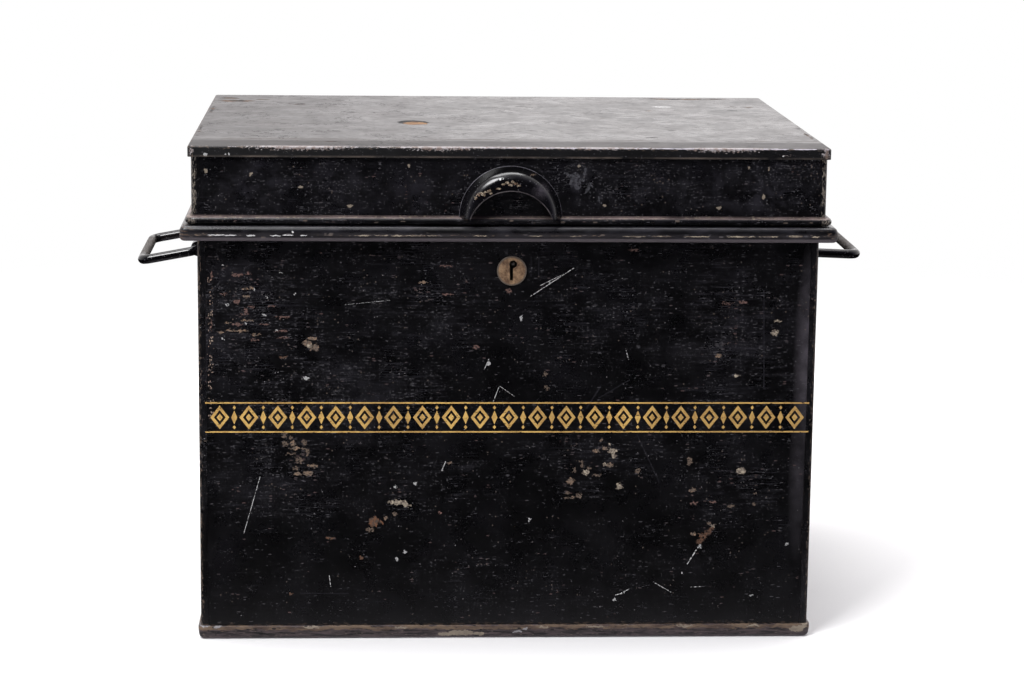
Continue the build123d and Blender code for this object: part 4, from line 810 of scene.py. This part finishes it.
# ================================================================ floor, room, lights and camera
def stage_floor():
    """A white floor that fades out into the white room. The box mirrors it as a glow, bright only at its foot: a
    painted reflection.
    """
    reach = 2.2
    mesh = bpy.data.meshes.new("floor")
    mesh.from_pydata([(-reach, -reach, 0), (reach, -reach, 0), (reach, reach, 0), (-reach, reach, 0)],
                     [], [(0, 1, 2, 3)])
    floor = bpy.data.objects.new("floor", mesh)
    floor.location.z = -0.0002
    bpy.context.scene.collection.objects.link(floor)

    look = Look("floor", (0.9, 0.9, 0.9), 1.0)
    look.done()
    fade = look.step(look.vector("LENGTH", look.place), 0.75, 1.5)
    clear = look.add("ShaderNodeBsdfTransparent")
    seen = look.add("ShaderNodeMixShader", fade, look.shader.outputs[0], clear.outputs[0])
    # To glossy rays the floor is a glow, brightest at the box's foot and falling off away from it: a painted reflection
    out_x = look.math("SUBTRACT", look.math("ABSOLUTE", look.x), half_width)
    out_y = look.math("SUBTRACT", look.math("ABSOLUTE", look.y), half_depth)
    away = look.greatest(out_x, out_y, 0.0)
    fall = look.math("POWER", 1 / math.e, look.math("DIVIDE", away, MIRRORED_FALL))
    mirrored = look.add("ShaderNodeEmission", (0.97, 0.93, 1.0, 1),
                        look.math("MULTIPLY_ADD", fall, MIRRORED_NEAR, MIRRORED_FAR))
    glossy = look.add("ShaderNodeLightPath").outputs["Is Glossy Ray"]
    both = look.add("ShaderNodeMixShader", glossy, seen.outputs[0], mirrored.outputs[0])
    look.feed(look.tree.nodes["Material Output"].inputs["Surface"], both.outputs[0])
    floor.data.materials.append(look.material)


MIRRORED_NEAR, MIRRORED_FAR, MIRRORED_FALL = 0.50, 0.01, 0.06


def room():
    """White to the camera. As light it is bright behind and above, and dim before the box."""
    world = bpy.data.worlds.new("room")
    bpy.context.scene.world = world
    world.use_nodes = True
    tree = world.node_tree
    tree.nodes.clear()
    add, link = tree.nodes.new, tree.links.new
    axes = add("ShaderNodeSeparateXYZ")
    link(add("ShaderNodeTexCoord").outputs["Generated"], axes.inputs[0])

    def ramp(axis, low, high, to_low, to_high):
        node = add("ShaderNodeMapRange")
        node.interpolation_type = "SMOOTHSTEP"
        for socket, value in zip(node.inputs[1:5], (low, high, to_low, to_high)):
            socket.default_value = value
        link(axes.outputs[axis], node.inputs["Value"])
        return node.outputs["Result"]

    strength = add("ShaderNodeMath")
    strength.operation = "MULTIPLY"
    link(ramp(1, -0.85, 0.35, 0.034, 1.46), strength.inputs[0])
    link(ramp(0, -0.16, 0.06, 0.86, 1.0), strength.inputs[1])
    light = add("ShaderNodeBackground")
    tint = add("ShaderNodeMix")
    tint.data_type = "RGBA"
    tint.inputs[6].default_value = (0.86, 0.80, 1.15, 1)
    tint.inputs[7].default_value = (1.0, 0.972, 0.978, 1)
    link(ramp(1, -0.85, 0.0, 0.0, 1.0), tint.inputs[0])
    link(tint.outputs[2], light.inputs["Color"])
    link(strength.outputs[0], light.inputs["Strength"])
    white = add("ShaderNodeBackground")
    white.inputs["Color"].default_value = (1, 1, 1, 1)
    path = add("ShaderNodeLightPath")
    both = add("ShaderNodeMixShader")
    link(path.outputs["Is Camera Ray"], both.inputs[0])
    link(light.outputs[0], both.inputs[1])
    link(white.outputs[0], both.inputs[2])
    link(both.outputs[0], add("ShaderNodeOutputWorld").inputs["Surface"])


def softbox(name, place, target, width, height, power):
    lamp = bpy.data.lights.new(name, "AREA")
    lamp.shape = "RECTANGLE"
    lamp.size, lamp.size_y, lamp.energy = width, height, power
    light = bpy.data.objects.new(name, lamp)
    light.location = place
    light.rotation_euler = (Vector(target) - Vector(place)).to_track_quat("-Z", "Y").to_euler()
    bpy.context.scene.collection.objects.link(light)


CAMERA_PLACE = (-0.09328, -1.91579, 0.53513)
CAMERA_YAW, CAMERA_DIP, CAMERA_ROLL = 0.05432, 0.18874, -0.01151
CAMERA_LENS, CAMERA_SENSOR = 95.69, 36.0


def camera():
    """The photograph's own view, from the box's straight edges."""
    data = bpy.data.cameras.new("camera")
    data.lens, data.sensor_width = CAMERA_LENS, CAMERA_SENSOR
    eye = bpy.data.objects.new("camera", data)
    ahead = Vector((math.sin(CAMERA_YAW) * math.cos(CAMERA_DIP), math.cos(CAMERA_YAW) * math.cos(CAMERA_DIP),
                    -math.sin(CAMERA_DIP)))
    level = Vector((math.cos(CAMERA_YAW), -math.sin(CAMERA_YAW), 0))
    down = ahead.cross(level)
    right = math.cos(CAMERA_ROLL) * level + math.sin(CAMERA_ROLL) * down
    below = -math.sin(CAMERA_ROLL) * level + math.cos(CAMERA_ROLL) * down
    axes = Matrix((right, -below, -ahead)).transposed().to_4x4()
    eye.matrix_world = Matrix.Translation(CAMERA_PLACE) @ axes
    bpy.context.scene.collection.objects.link(eye)
    bpy.context.scene.camera = eye


stage_floor()
room()
softbox("key", (-0.80, -1.15, 1.80), (0, 0, 0.15), 0.8, 0.8, 38)
softbox("top", (-0.1, 0.25, 2.1), (0, 0, 0.2), 1.4, 1.0, 30)
camera()
bpy.context.scene.view_settings.view_transform = "Standard"
